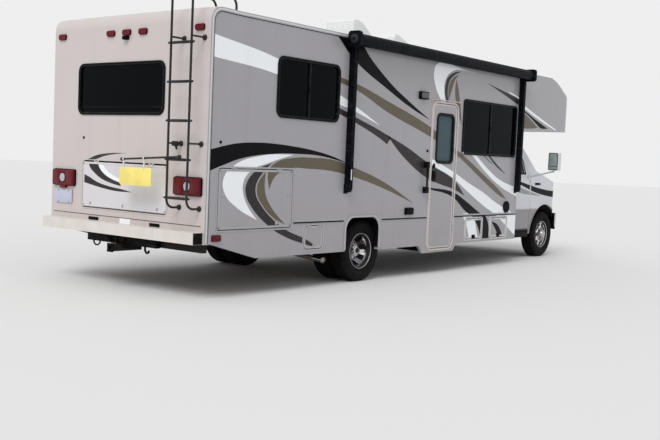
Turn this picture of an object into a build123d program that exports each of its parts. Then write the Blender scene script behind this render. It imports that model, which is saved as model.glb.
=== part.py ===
from build123d import *
from math import atan2, cos, radians, sin
import os

# A cab-over motorhome, in millimetres. Stations (x) count forward from the rear
# wall's outer face, y goes to the vehicle's left and z goes up from the ground.
# Every helper that places a form takes stations and sets x = 0 at the middle of the overall length.

# Running gear
rear_axle_x = 2712
wheelbase = 5312
tyre_radius = 372
tyre_width = 225
rim_seat = 203               # bead seat radius
rim_flange = 218
rim_half = 80                # half of the width between the flanges
front_tyre_y = 880
rear_outer_y = 1078
rear_inner_y = 800
kingpin_y = 700
kingpin_radius = 15
spindle_radius = 32
steer_eye_half = 40
rail_outer_y = 430
rail_flange = 70
rail_bottom = 500
rail_top = 655
rail_web = 10

# House body
body_width = 2515
wall = 40                    # laminated wall, right through
house_end = 1504             # the house ends this far behind the front axle
wall_top = 2865
roof_lip = 40                # the roof's edge stands this far above the walls
crown_rise = 20
cap_strip = 45               # how far the rear cap wraps onto the sides
cap_radius = 150             # rear wall rolling over into the roof
cap_reach = 190              # where the rear cap meets the roof panel
floor_top = 800
floor_thickness = 65
skirt_bottom = 400
rear_skirt = 570             # skirt bottom at the rear corners, cut up for departure angle
rear_skirt_run = 750         # where that cut ends
trunk_front = 1350
trunk_ceiling = 1375
board = 20                   # thickness of floors, bulkheads and locker walls inside

# Cab
cab_half = 1007
cab_skin = 40                # door or wall, right through
sill = 400
cab_floor_z = (660, 680)
belt = 1345
cowl_z = 1420
arch_radius = 500
nose_ahead = 596             # the grille stands this far ahead of the front axle
bumper_ahead = 160           # and the bumper this far ahead of the grille
bumper_z = (500, 720)

# Bunk over the cab
cabover_rear_z = 2030
cabover_front_z = 2080
cabover_ahead = 316          # its nose stands this far ahead of the front axle
bunk_corner = 260            # radius of its front corners in plan

# Rear fittings
bumper_depth = 130
rail_tube = 12               # ladder tube radius
ladder_off = 175             # ladder tubes stand this far off the wall
bar_radius = 10
knob_radius = 18

# Clearances
door_gap = 8                 # round every door and hatch leaf
cab_door_rear_gap = 16       # wider, as the rear edge swings on a long arm
cab_door_top_gap = 10
running_gap = 0.05           # radial play of a shaft in its bore
loop_gap = 0.05              # radial play of the board's loops on the bar

# Worked out from the sizes above
body_half = body_width / 2
inner_half = body_half - wall
front_axle_x = rear_axle_x + wheelbase
axle_z = tyre_radius
house_length = front_axle_x - house_end
roof_edge = wall_top + roof_lip
roof_crown = roof_edge + crown_rise
cab_nose = front_axle_x + nose_ahead
bumper_front = cab_nose + bumper_ahead
bumper_back = cab_nose - 20   # the rails end against the front bumper
bumper_ends_x = front_axle_x + 391      # the bumper starts ahead of the steered tyres
cabover_nose = front_axle_x + cabover_ahead
cowl_x = front_axle_x - 304
header_x = front_axle_x - 894
ladder_y = (372.5 - body_half, 82.5 - body_half)
bar_x = -ladder_off - rail_tube - bar_radius + 4
overall_middle = (bumper_front + bar_x - knob_radius) / 2
far = 400                    # how far a cutting form runs past what it cuts

right, left = -1, 1


def place(x, y, z):
    """The position of a station in the finished frame."""
    return Pos(x - overall_middle, y, z)


def outline(*points):
    return make_face(Polyline(*points, close=True))


def rounded(u, v, radius):
    """A rounded rectangle from its low and high corner values."""
    return Pos(sum(u) / 2, sum(v) / 2) * RectangleRounded(u[1] - u[0], v[1] - v[0], radius)


def plain(u, v):
    return Pos(sum(u) / 2, sum(v) / 2) * Rectangle(u[1] - u[0], v[1] - v[0])


def along_x(sketch, x_from, x_to):
    """Extrude a sketch drawn in (y, z) between two stations."""
    plane = Plane(origin=(x_from - overall_middle, 0, 0), x_dir=(0, 1, 0), z_dir=(1, 0, 0))
    return extrude(plane * sketch, amount=x_to - x_from)


def along_y(sketch, y_a, y_b):
    """Extrude a sketch drawn in (x, z) between two distances from the middle."""
    plane = Plane(origin=(-overall_middle, max(y_a, y_b), 0), x_dir=(1, 0, 0), z_dir=(0, -1, 0))
    return extrude(plane * sketch, amount=abs(y_b - y_a))


def along_z(sketch, z_from, z_to):
    return extrude(Plane(origin=(-overall_middle, 0, z_from)) * sketch, amount=z_to - z_from)


def block(x, y, z):
    """A box from three pairs of low and high values, in any order within a pair."""
    size = [abs(pair[1] - pair[0]) for pair in (x, y, z)]
    return place(sum(x) / 2, sum(y) / 2, sum(z) / 2) * Box(*size)


def rod(start, end, radius):
    """A round bar between two points."""
    start, end = (Vector(x - overall_middle, y, z) for x, y, z in (start, end))
    plane = Plane(origin=start, z_dir=end - start)
    return extrude(plane * Circle(radius), amount=(end - start).length)


def tube_path(points, bend, radius):
    """A round bar swept along straight runs joined by tangent arcs."""
    path = FilletPolyline(*[(x - overall_middle, y, z) for x, y, z in points], radius=bend)
    return sweep(Plane(origin=path @ 0, z_dir=path % 0) * Circle(radius), path=path)


def shrink(span, by):
    return (span[0] + by, span[1] - by)


def sum_of(shapes):
    total = shapes[0]
    for shape in shapes[1:]:
        total = total + shape
    return total


# Hinges: a pin on the leaf turns in two ears on the frame
hinge_out = 5                # hinge lines stand this far outside the face, midway in the gap
pin_radius = 3
pin_play = 0.05
tab_half = 20
ear_length = 16
tab_reach = 22
tab_bite = 1                 # how deep tabs and ears sink into what carries them
axial_gap = 2


def hinge(line_at, axis, toward_leaf, centres):
    """Leaf tabs with their pins, and frame ears, at centres counted along a hinge line."""
    x, y, z = line_at
    line = Plane(origin=(x - overall_middle, y, z), x_dir=toward_leaf, z_dir=axis).location
    corner = (Align.MIN, Align.MIN, Align.CENTER)
    ear_middle = tab_half + axial_gap + ear_length / 2
    tabs, ears = [], []
    for centre in centres:
        pin = Pos(0, 0, centre) * Cylinder(pin_radius, 2 * ear_middle + ear_length)
        plate = Pos(0, -hinge_out - tab_bite, centre) * Box(
            tab_reach, hinge_out + tab_bite + pin_radius, 2 * tab_half, align=corner)
        tabs.append(line * (pin + plate))
        for away in (-ear_middle, ear_middle):
            ear = Cylinder(hinge_out, ear_length) + Pos(-tab_reach, -hinge_out - tab_bite, 0) * Box(
                tab_reach, 2 * hinge_out + tab_bite, ear_length, align=corner)
            bored = ear - Cylinder(pin_radius + pin_play, ear_length)
            ears.append(line * Pos(0, 0, centre + away) * bored)
    return tabs, ears


def behind(rear, front):
    """Two stations, given by their distances behind the house's front."""
    return (house_length - rear, house_length - front)


def below(low, high):
    """Two heights, given by their distances below the walls' top."""
    return (wall_top - low, wall_top - high)


# Doors and hatches in the side walls: x low, x high, z low, z high, corner radius
door_corner = 30
hatch_z = (skirt_bottom + 25, 720)
storage_door = (165, trunk_front - 50, 705, trunk_ceiling - 40, door_corner)
right_hatches = {
    "hatch_right_rear": (rear_axle_x - 1192, rear_axle_x - 852, skirt_bottom + 50, 720, 60),
    "hatch_right_mid": (*behind(1490, 1020), *hatch_z, door_corner),
    "hatch_right_front": (*behind(790, 280), *hatch_z, door_corner),
}
left_hatches = {
    "hatch_left_mid": (*behind(3020, 2370), *hatch_z, door_corner),
}
entry_opening = (*behind(2465, 1845), 335, wall_top - 595, 95)
door_window = (*behind(2340, 1940), *below(1370, 745), 60)
cargo_y = (-695, 695)
cargo_z = (floor_top + 30, trunk_ceiling - 40)

# Windows: x low, x high, z low, z high, corner radius
bedroom_window = (rear_axle_x - 1727, rear_axle_x - 657, *below(980, 325), 90)
right_windows = (bedroom_window, (*behind(1700, 140), *below(1255, 490), 60))
left_windows = (bedroom_window, (*behind(3520, 2900), *below(1115, 490), 60),
                (*behind(2020, 460), *below(1255, 490), 60))
rear_window = ((-620, 800), below(1025, 465), 90)
frame_lap = 20               # how far a window frame laps over the wall
frame_bar = 32               # width of a frame seen from outside
frame_proud = 12
pane = 6

arch_x = (rear_axle_x - 432, rear_axle_x + 218)
arch_top = 790
arch_corner = 150


def top_hinge(row, side):
    """Hinges along the top edge of a side opening."""
    x_low, x_high, _, z_high, _ = row
    reach = 0.3 * (x_high - x_low)
    return hinge(((x_low + x_high) / 2, side * (body_half + hinge_out), z_high - door_gap / 2),
                 (side, 0, 0), (0, 0, -1), (-reach, reach))


def entry_hinge():
    """Hinges along the front edge of the entry door."""
    _, x_high, z_low, z_high, _ = entry_opening
    return hinge((x_high - door_gap / 2, -body_half - hinge_out, (z_low + z_high) / 2),
                 (0, 0, 1), (-1, 0, 0), (-700, 0, 700))


def cargo_hinge():
    return hinge((-hinge_out, 0, cargo_z[1] - door_gap / 2), (0, 1, 0), (0, 0, -1), (-450, 450))


def opening_sketch(row, by=0):
    x_low, x_high, z_low, z_high, radius = row
    return rounded(shrink((x_low, x_high), by), shrink((z_low, z_high), by), max(radius - by, 5))


# House body

def side_wall(side, hatches, windows, bottom, ears):
    """One laminated side with its skirt and the strip that closes the house beside the cab."""
    face = outline(*bottom, (house_length, wall_top), (cap_strip, wall_top))
    face &= rounded((cap_strip, house_length + far), (-far, wall_top), cap_radius - cap_strip)
    face -= rounded(arch_x, (0, arch_top), arch_corner)
    for row in hatches:
        face -= opening_sketch(row)
    for row in windows:
        face -= opening_sketch(row, frame_lap)
    panel = along_y(face, side * body_half, side * inner_half)
    flare_outer = rounded((arch_x[0] - 30, arch_x[1] + 40), (0, arch_top + 25), arch_corner + 20)
    flare = (flare_outer - rounded(arch_x, (0, arch_top), arch_corner)) & plain(
        (arch_x[0] - 100, arch_x[1] + 100), (skirt_bottom + 10, arch_top + 100))
    panel += along_y(flare, side * body_half, side * (body_half + 12))
    beside_cab = block((house_length - wall, house_length),
                       (side * (cab_half - cab_skin), side * inner_half), (skirt_bottom, cabover_rear_z))
    return sum_of([panel, beside_cab] + ears)


skirt_rear = [(cap_strip, rear_skirt), (100, rear_skirt), (rear_skirt_run, skirt_bottom)]
step_x = (entry_opening[0] - 105, entry_opening[1] + 45)
step_skirt = entry_opening[2] - 50
skirt_step = [(step_x[0] - 80, skirt_bottom - 15), (step_x[0], step_skirt), (step_x[1], step_skirt),
              (step_x[1] + 80, skirt_bottom - 20)]
skirt_right = skirt_rear + skirt_step + [(house_length, skirt_bottom - 20)]
skirt_left = skirt_rear + [(house_length, skirt_bottom - 20)]


def crown(bottom, lower=0):
    """The roof's cross-section, flat below and gently crowned on top."""
    edge, middle = roof_edge - lower, roof_crown - lower
    rim = Polyline((-body_half, edge), (-body_half, bottom), (body_half, bottom), (body_half, edge))
    return make_face([*rim.edges(), ThreePointArc((body_half, edge), (0, middle), (-body_half, edge))])


def rear_cap():
    """The rear wall, the roof's rolled rear edge above it, and a fillet at each end inside the corner."""
    outer = rounded((0, house_length), (-far, roof_crown), cap_radius)
    form = along_y(outer, -body_half, body_half) & along_x(crown(0), 0, cap_reach)
    rear = form & block((0, cap_strip), (-body_half, body_half), (rear_skirt, wall_top))
    edge = form & block((0, cap_reach), (-body_half, body_half), (wall_top, roof_crown))
    rear -= along_x(rounded(cargo_y, cargo_z, door_corner), -10, 100)
    window_y, window_z, radius = rear_window
    hole = rounded(shrink(window_y, frame_lap), shrink(window_z, frame_lap), radius - frame_lap)
    rear = sum_of([rear - along_x(hole, -10, 100)] + cargo_hinge()[1])
    inner_radius = cap_radius - cap_strip
    fillet = plain((cap_strip, cap_radius), (wall_top - inner_radius, wall_top))
    fillet -= rounded((cap_strip, house_length), (-far, wall_top), inner_radius)
    fillets = [along_y(fillet, side * inner_half, side * body_half) for side in (right, left)]
    return Compound(children=[rear, edge, *fillets])


def corner_arc(x, y, radius, turn):
    """A quarter circle in plan, bulging forward, between a side at y and a front at x.

    turn is -1 from the right side to the front and 1 from the front to the left side.
    """
    lean = radius * (1 - sin(radians(45)))
    side_end, middle, front_end = (x - radius, y), (x - lean, y - turn * lean), (x, y - turn * radius)
    ends = (side_end, middle, front_end)
    return ThreePointArc(*(ends if turn < 0 else reversed(ends)))


def bunk_z(share):
    """A height on the bunk's front, as a share from its lower edge to the roof's crown."""
    return cabover_front_z + share * (roof_crown - cabover_front_z)


def cabover_form(inset):
    """The bunk cap's outer form, or the same form shrunk inwards."""
    back = house_length - far
    chin_x = cabover_nose - 340
    slope = (cabover_front_z - cabover_rear_z) / (chin_x - house_length)
    brow = (cabover_nose - 380, bunk_z(0.757))
    nose = (cabover_nose, bunk_z(0.178))
    top_front = (cabover_nose - 1090, roof_crown)
    profile = make_face([
        Line((back, cabover_rear_z - slope * far), (chin_x, cabover_front_z)),
        ThreePointArc((chin_x, cabover_front_z), (cabover_nose - 110, bunk_z(0.041)), nose),
        ThreePointArc(nose, (cabover_nose - 125, bunk_z(0.544)), brow),
        ThreePointArc(brow, (cabover_nose - 690, bunk_z(0.933)), top_front),
        Line(top_front, (back, roof_crown)),
        Line((back, roof_crown), (back, cabover_rear_z - slope * far)),
    ])
    shoulder = cabover_nose - 30         # the front bows out this far between its corners
    plan = make_face([
        Line((back, -body_half), (shoulder - bunk_corner, -body_half)),
        corner_arc(shoulder, -body_half, bunk_corner, -1),
        ThreePointArc((shoulder, bunk_corner - body_half), (cabover_nose, 0),
                      (shoulder, body_half - bunk_corner)),
        corner_arc(shoulder, body_half, bunk_corner, 1),
        Line((shoulder - bunk_corner, body_half), (back, body_half)),
        Line((back, body_half), (back, -body_half)),
    ])
    if inset:
        profile, plan = offset(profile, -inset), offset(plan, -inset)
    form = along_y(profile, -body_half, body_half) & along_z(plan, cabover_rear_z - far, roof_crown + far)
    return form & along_x(crown(0, inset), back, cabover_nose + far)


def cabover_cap():
    keep = block((house_length, cabover_nose + far), (-body_half, body_half),
                 (cabover_rear_z - far, roof_crown + far))
    return (cabover_form(0) & keep) - cabover_form(wall)


def window_frame(row, side):
    """A frame that laps over the wall and lines the opening, with one mullion."""
    hole = opening_sketch(row, frame_bar)
    lap = along_y(opening_sketch(row) - hole, side * body_half, side * (body_half + frame_proud))
    lining = along_y(opening_sketch(row, frame_lap) - hole, side * inner_half, side * body_half)
    middle = (row[0] + row[1]) / 2
    mullion = block((middle - 14, middle + 14), (side * (body_half - 20), side * (body_half + 6)),
                    shrink(row[2:4], frame_bar))
    return lap + lining + mullion


def window_pane(row, side):
    middle = (row[0] + row[1]) / 2
    sheet = opening_sketch(row, frame_bar) - plain((middle - 14, middle + 14), (0, roof_crown))
    return along_y(sheet, side * (body_half - 14), side * (body_half - 14 + pane))


def rear_frame():
    window_y, window_z, radius = rear_window
    hole = rounded(shrink(window_y, frame_bar), shrink(window_z, frame_bar), radius - frame_bar)
    lap = along_x(rounded(window_y, window_z, radius) - hole, -frame_proud, 0)
    sleeve = rounded(shrink(window_y, frame_lap), shrink(window_z, frame_lap), radius - frame_lap)
    return lap + along_x(sleeve - hole, 0, cap_strip)


def rear_pane():
    window_y, window_z, radius = rear_window
    hole = rounded(shrink(window_y, frame_bar), shrink(window_z, frame_bar), radius - frame_bar)
    return along_x(hole, 8, 8 + pane)


well_x = (rear_axle_x - 470, rear_axle_x + 470)
well_y = rear_inner_y - tyre_width / 2 - 32.5
well_top = 2 * tyre_radius + 116
step_y = 800                 # the step well starts this far from the middle


def house_floor():
    """The house floor with its wheel wells, and the rear bay's drop floor, bulkhead and bed deck."""
    under = floor_top - floor_thickness
    floor = block((trunk_front, house_length - wall), (-inner_half, inner_half), (under, floor_top))
    neck = cab_half - cab_skin
    floor += block((house_length - wall, house_length), (-neck, neck), (cab_floor_z[0], floor_top))
    for side in (right, left):
        outer = block(well_x, (side * well_y, side * inner_half), (under, well_top))
        inner = block(shrink(well_x, board), (side * (well_y + board), side * (inner_half + far)),
                      (0, well_top - board))
        floor = floor + outer - inner
    step_hole = block((entry_opening[0] - board, entry_opening[1] + board), (-inner_half - far, -step_y),
                      (0, floor_top + far))
    base = rail_top + board
    bay_floor = block((cap_strip, trunk_front), (-inner_half, inner_half), (rail_top, base))
    bulkhead = block((trunk_front - board, trunk_front), (-inner_half, inner_half), (base, trunk_ceiling))
    deck = block((cap_strip, trunk_front), (-inner_half, inner_half), (trunk_ceiling, trunk_ceiling + board))
    return sum_of([floor - step_hole, bay_floor, bulkhead, deck])


def box_boards(x, y, z, thickness):
    """The base, two ends and back of a box that is open outwards; y goes from its mouth to its back."""
    inward = 1 if y[1] > y[0] else -1
    above = (z[0] + thickness, z[1])
    inside = (y[0], y[1] - inward * thickness)
    return [block(x, y, (z[0], above[0])),
            block((x[0], x[0] + thickness), inside, above),
            block((x[1] - thickness, x[1]), inside, above),
            block(x, (inside[1], y[1]), above)]


def entry_step():
    """The step well inside the entry door, one tread above its floor."""
    x_pair = (entry_opening[0] - board, entry_opening[1] + board)
    base = entry_opening[2] - 35
    tread = block(shrink(x_pair, board), (-step_y - 210, -step_y - board),
                  (base + board, (base + floor_top) / 2 + 10))
    return [*box_boards(x_pair, (-inner_half, -step_y), (base, floor_top), board), tread]


hatch_thickness = 25
locker_depth = 380
locker_wall = 10


def locker(row, side=right):
    """A box of five boards behind a hatch."""
    x_low, x_high, z_low, z_high, _ = row
    x_pair = (x_low - locker_wall, x_high + locker_wall)
    y_pair = (side * inner_half, side * (inner_half - locker_depth))
    lid = block(x_pair, y_pair, (z_high, z_high + locker_wall))
    return [*box_boards(x_pair, y_pair, (z_low - locker_wall, z_high), locker_wall), lid]


def flush_leaf(row, side, thickness):
    return along_y(opening_sketch(row, door_gap), side * body_half, side * (body_half - thickness))


def leaf(row, side, thickness):
    """A flush, top-hinged door or hatch for an opening in a side wall."""
    return sum_of([flush_leaf(row, side, thickness)] + top_hinge(row, side)[0])


def entry_door():
    panel = sum_of([flush_leaf(entry_opening, right, wall)] + entry_hinge()[0])
    return panel - along_y(opening_sketch(door_window), -body_half - 10, -inner_half + 10)


def cargo_door():
    face = rounded(shrink(cargo_y, door_gap), shrink(cargo_z, door_gap), door_corner - 5)
    panel = along_x(face, 0, wall)
    return sum_of([panel] + cargo_hinge()[0])


def entry_pane():
    outer_face = -body_half + 12
    return along_y(opening_sketch(door_window), outer_face, outer_face + pane)


# Awning: roller along the right side, on two arms
awning_radius = 68
awning_x = (rear_axle_x - 582, house_length + 30)
awning_y = -body_half - 122.5
awning_z = wall_top - 15
arm_x = (awning_x[0] + 115, awning_x[1] - 95)
arm_width = 60
arm_depth = 70
arm_foot = 1110
head_thickness = 40
head_half = 90


def awning():
    roller = rod((awning_x[0], awning_y, awning_z), (awning_x[1], awning_y, awning_z), awning_radius)
    parts = [roller]
    for x in arm_x:
        parts.append(block((x - arm_width / 2, x + arm_width / 2), (-body_half - arm_depth, -body_half),
                           (arm_foot, awning_z)))
    head = Pos(awning_y, awning_z) * Rectangle(2 * head_half, 2 * head_half)
    head = fillet(head.vertices(), 40)
    for x in (awning_x[0], awning_x[1] - head_thickness):
        parts.append(along_x(head, x, x + head_thickness))
    parts.append(block(arm_x, (-body_half - 14, -body_half), (awning_z - 50, awning_z)))
    return sum_of(parts)


def roof_profile(rows, front):
    """A closed outline from (distance behind a front station, height above the roof's edge)."""
    return outline(*[(front - back, roof_edge + up) for back, up in rows])


ac_front = house_length - 1370
ac_rows = ((760, -5), (0, -5), (0, 85), (170, 175), (450, 260), (670, 335), (740, 335), (760, 295))
vent_front = rear_axle_x + 648
vent_rows = ((480, -25), (0, -25), (0, 25), (60, 105), (180, 205), (300, 280), (380, 300), (470, 300),
             (480, 285))


def roof_ac():
    """The air conditioner: a shroud that slopes down towards the front."""
    form = along_y(roof_profile(ac_rows, ac_front), -350, 350)
    return form - along_x(crown(0), ac_front - 2 * far, ac_front + far)


def roof_vents():
    """A hooded vent cover behind it and a low dome beside it."""
    cover = along_y(roof_profile(vent_rows, vent_front), -350, -790)
    cover -= along_x(crown(0), vent_front - 2 * far, vent_front + far)
    dome_x = ac_front - 150
    standing = (Align.CENTER, Align.CENTER, Align.MIN)
    dome = place(dome_x, -750, roof_edge - 15) * Cylinder(150, 130, align=standing)
    dome = fillet(dome.edges().sort_by(Axis.Z)[-1], 50) - along_x(crown(0), dome_x - far, dome_x + far)
    return [cover, dome]


# Rear

lamp_y = (body_half - 437.5, body_half - 52.5)
lamp_z = (1050, 1225)
marker_y = (147.5 - body_half, -260, 0, 260, body_half - 147.5)
marker_z = wall_top - 160
bumper_half = body_half - 22.5
bumper_heights = (572, 690)
bumper_wall = 7
receiver_z = (400, 476.2)
receiver_wall = 12.7


def rear_lamps():
    lamps = []
    for side in (right, left):
        y_pair = sorted((side * lamp_y[0], side * lamp_y[1]))
        lamps.append(along_x(rounded(y_pair, lamp_z, 20), -35, 0))
    for y in marker_y:
        lens = rounded((y - 62, y + 62), (marker_z - 30, marker_z + 30), 24)
        lamps.append(along_x(lens, -22, 0))
    return Compound(children=lamps)


def rear_bumper():
    outer = block((-bumper_depth, 0), (-bumper_half, bumper_half), bumper_heights)
    hollow = block((bumper_wall - bumper_depth, 0), (bumper_wall - bumper_half, bumper_half - bumper_wall),
                   shrink(bumper_heights, bumper_wall))
    return outer - hollow


def hitch_receiver():
    half = (receiver_z[1] - receiver_z[0]) / 2
    tube = block((-150, 250), (-half, half), receiver_z)
    tube -= block((-far, far), (receiver_wall - half, half - receiver_wall),
                  shrink(receiver_z, receiver_wall))
    cross = block((60, 120), (-rail_outer_y, rail_outer_y), (receiver_z[1], rail_bottom))
    beam = block((60, 120), (-body_half + 80, rail_outer_y + 70), (receiver_z[1], rear_skirt - 10))
    beam -= block((0, far), (-rail_outer_y - 1, rail_outer_y + 1), (rail_bottom, rear_skirt))
    pin_hole = place(-90, 0, sum(receiver_z) / 2) * Rot(90, 0, 0) * Cylinder(8, 4 * half)
    return tube + cross + beam - pin_hole


ladder_foot = 920
rung_pitch = 380
rung_ends = (ladder_y[0] + 35, ladder_y[1] - 35)
stay_z = (wall_top - 265, 1560)
bar_ends = (-213, ladder_y[0] - 190)
bar_z = (1378, 1428)         # the bar slopes up towards the ladder


def bar_point(y):
    """The point of the sloped bar's axis that lies at y."""
    share = (y - bar_ends[0]) / (bar_ends[1] - bar_ends[0])
    return (bar_x, y, bar_z[0] + share * (bar_z[1] - bar_z[0]))


def ladder():
    """Two bent rails that loop over the roof edge, with rungs and wall feet."""
    top, roof_reach = roof_crown + 125, 420
    parts = []
    for y in ladder_y:
        points = [(0, y, ladder_foot), (-ladder_off, y, ladder_foot), (-ladder_off, y, top),
                  (roof_reach, y, top), (roof_reach, y, roof_edge)]
        parts.append(tube_path(points, 90, rail_tube))
        for z in stay_z:
            parts.append(rod((-ladder_off, y, z), (0, y, z), rail_tube * 0.8))
        for z in (*stay_z, ladder_foot):
            parts.append(rod((-12, y, z), (0, y, z), 26))
    for z in [ladder_foot + 100 + step * rung_pitch for step in range(5)]:
        parts.append(rod((-ladder_off, rung_ends[0], z), (-ladder_off, rung_ends[1], z), rail_tube * 0.9))
    parts.append(rod(bar_point(bar_ends[0]), bar_point(bar_ends[1]), bar_radius))
    for y in bar_ends:
        parts.append(rod(bar_point(y - 12), bar_point(y + 12), knob_radius))
    return sum_of(parts) - along_x(crown(0), 0, 600)


def hanging_board():
    """A blank board on two strap loops that turn on the bar."""
    strap_half, sheet = 10, 3
    parts = [along_x(rounded((-670, -180), (1115, 1300), 15), bar_x - sheet, bar_x + sheet)]
    for y in (-238, -556):
        parts.append(rod(bar_point(y - strap_half), bar_point(y + strap_half), bar_radius + 5))
        parts.append(block((bar_x - sheet, bar_x + sheet), (y - strap_half, y + strap_half),
                           (1295, bar_point(y)[2] - bar_radius)))
    return sum_of(parts) - rod(bar_point(bar_ends[0]), bar_point(bar_ends[1]), bar_radius + loop_gap)


# Chassis

def chassis_frame():
    """Two channel rails with their cross members."""
    inner = rail_outer_y - rail_web
    parts = []
    for side in (right, left):
        outer_y = sorted((side * (rail_outer_y - rail_flange), side * rail_outer_y))
        hollow_y = sorted((side * (rail_outer_y - rail_flange - 1), side * inner))
        outer = plain(outer_y, (rail_bottom, rail_top))
        hollow = plain(hollow_y, (rail_bottom + rail_web, rail_top - rail_web))
        parts.append(along_x(outer - hollow, 60, bumper_back))
    for x in cross_x:
        parts.append(block((x, x + 60), (-inner, inner), (rail_bottom + 20, rail_top - 20)))
    for x in low_cross_x:
        parts.append(block((x, x + 60), (-inner, inner), (rail_bottom + 10, rail_bottom + 50)))
    return sum_of(parts)


def body_bearers():
    """Loose bearers across the rails, which carry the house."""
    z_pair = (rail_top, floor_top - floor_thickness)
    return Compound(children=[block((x, x + 50), y_pair, z_pair) for x, y_pair in bearers])


cross_x = (300, trunk_front + 50, rear_axle_x + 588, *behind(2220, 1120), front_axle_x - 1324)
low_cross_x = (front_axle_x - 224, front_axle_x + 176)
full_width = (-inner_half, inner_half)
bearers = (                  # station, reach across
    (trunk_front + 50, full_width),
    (rear_axle_x + 588, full_width),
    (house_length - 2670, (-inner_half, rail_outer_y)),
    (house_length - 2270, (-rail_outer_y, inner_half)),
    (house_length - 1670, full_width),
    (house_length - 920, full_width),
    (house_length - 170, full_width),
)
gearbox_back = front_axle_x - 1074
engine_x = (front_axle_x - 384, front_axle_x + 356)
pinion_x = rear_axle_x + 230


def engine():
    """Plain engine and gearbox blocks with the driveshaft that reaches the rear axle."""
    block_form = block(engine_x, (-330, 330), (rail_bottom + 50, cowl_z - 270))
    gearbox = block((gearbox_back, engine_x[0]), (-170, 170), (rail_bottom - 100, rail_bottom + 140))
    shaft = rod((pinion_x - 50, 0, axle_z + 20), (gearbox_back + 50, 0, rail_bottom - 30), 38)
    return block_form + gearbox + (shaft & block((pinion_x, gearbox_back + 10), (-far, far), (0, floor_top)))


def exhaust():
    """One pipe from the engine to a tip behind the right rear wheels, with its silencer and hangers."""
    run_y, run_z, over_z = -rail_outer_y - 140, rail_bottom - 60, rail_bottom + 40
    start_x, turn_y = front_axle_x - 324, -280
    down_z = rail_bottom + 50
    pipe = tube_path([(start_x, turn_y, down_z + 10), (start_x, turn_y, run_z),
                      (front_axle_x - 1324, turn_y, run_z), (front_axle_x - 1824, run_y, run_z),
                      (rear_axle_x + 588, run_y, run_z), (rear_axle_x + 338, run_y, over_z),
                      (rear_axle_x - 362, run_y, over_z), (rear_axle_x - 592, run_y, over_z - 220),
                      (rear_axle_x - 752, 27.5 - inner_half, over_z - 235)], 60, 28)
    pipe -= block((start_x - 100, start_x + 100), (turn_y - 100, turn_y + 100), (down_z, down_z + far))
    silencer_x = behind(1720, 1020)
    silencer = rod((silencer_x[1], run_y, run_z), (silencer_x[0], run_y, run_z), 90)
    parts = [pipe, silencer]
    for x, z in ((silencer_x[0] + 400, run_z), (rear_axle_x - 62, over_z)):
        parts.append(block((x, x + 30), (run_y - 8, run_y + 8), (z, rail_bottom + 100)))
        parts.append(block((x, x + 30), (run_y - 8, -rail_outer_y), (rail_bottom + 90, rail_bottom + 100)))
    return sum_of(parts)


def under_tanks():
    """Fuel tank between the rails behind the axle, holding tank beside the left rail."""
    inner = rail_outer_y - rail_web
    base, fuel_top = rail_bottom - 70, rail_bottom + 100
    fuel = block((trunk_front - 870, trunk_front - 100), (-330, 330), (base, fuel_top))
    straps = [block((x, x + 40), (-inner, inner), (fuel_top, fuel_top + 10))
              for x in (trunk_front - 750, trunk_front - 270)]
    holding = block(behind(2170, 1020), (rail_outer_y, inner_half - 97.5), (base, rail_top))
    return Compound(children=[sum_of([fuel] + straps), holding])


def wall_fittings():
    """Right side: grab handle, porch light, outlet box and a round vent."""
    face = -body_half
    door_rear = entry_opening[0]
    handle_x, handle_y, handle_z = door_rear - 135, face - 45, floor_top + 290
    parts = [rod((handle_x, handle_y, handle_z), (handle_x, handle_y, handle_z + 380), 12)]
    for z in (handle_z + 30, handle_z + 360):
        parts.append(block((handle_x - 30, handle_x + 30), (face - 60, face), (z - 40, z + 40)))
    light = block((door_rear - 355, door_rear - 175), (face - 40, face), below(575, 480))
    outlet = block((door_rear - 555, door_rear - 390), (face - 30, face), (floor_top + 10, floor_top + 85))
    vent_x, vent_z = house_length - 330, floor_top + 70
    vent = rod((vent_x, face, vent_z), (vent_x, face - 15, vent_z), 85)
    return Compound(children=[sum_of(parts), light, outlet, vent])


def rear_axle():
    tube_end, spindle_end = rear_inner_y - 160, rear_outer_y + 42
    tube = rod((rear_axle_x, -tube_end, axle_z), (rear_axle_x, tube_end, axle_z), 55)
    spindle = rod((rear_axle_x, -spindle_end, axle_z), (rear_axle_x, spindle_end, axle_z), spindle_radius)
    housing = place(rear_axle_x, 0, axle_z) * Sphere(175)
    nose = rod((rear_axle_x, 0, axle_z + 20), (pinion_x, 0, axle_z + 20), 70)
    parts = [tube, spindle, housing, nose]
    for side in (right, left):
        y_pair = (side * (rail_outer_y - 65), side * (rail_outer_y - 5))
        spring_x = (rear_axle_x - 650, rear_axle_x + 650)
        under = rail_bottom - 30
        rear_end, front_end = spring_x
        leaf_line = make_face([
            ThreePointArc((rear_end, rail_bottom), (rear_axle_x, axle_z + 60), (front_end, rail_bottom)),
            Line((front_end, rail_bottom), (front_end, under)),
            ThreePointArc((front_end, under), (rear_axle_x, axle_z + 10), (rear_end, under)),
            Line((rear_end, under), (rear_end, rail_bottom)),
        ])
        parts.append(along_y(leaf_line, *y_pair))
    return sum_of(parts)


def front_axle():
    beam = block((front_axle_x - 40, front_axle_x + 40), (-kingpin_y + 20, kingpin_y - 20),
                 (axle_z - steer_eye_half + 2, axle_z + steer_eye_half - 2))
    parts = [beam]
    for side in (right, left):
        eye = place(front_axle_x, side * kingpin_y, axle_z) * Cylinder(34, 2 * steer_eye_half)
        parts.append(eye)
        parts.append(block((front_axle_x - 30, front_axle_x + 30),
                           (side * (rail_outer_y - 50), side * (rail_outer_y + 10)),
                           (axle_z - 12, rail_bottom)))
    axle = sum_of(parts)
    for side in (right, left):
        axle -= place(front_axle_x, side * kingpin_y, axle_z) * Cylinder(kingpin_radius + running_gap, 200)
    return axle


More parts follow.
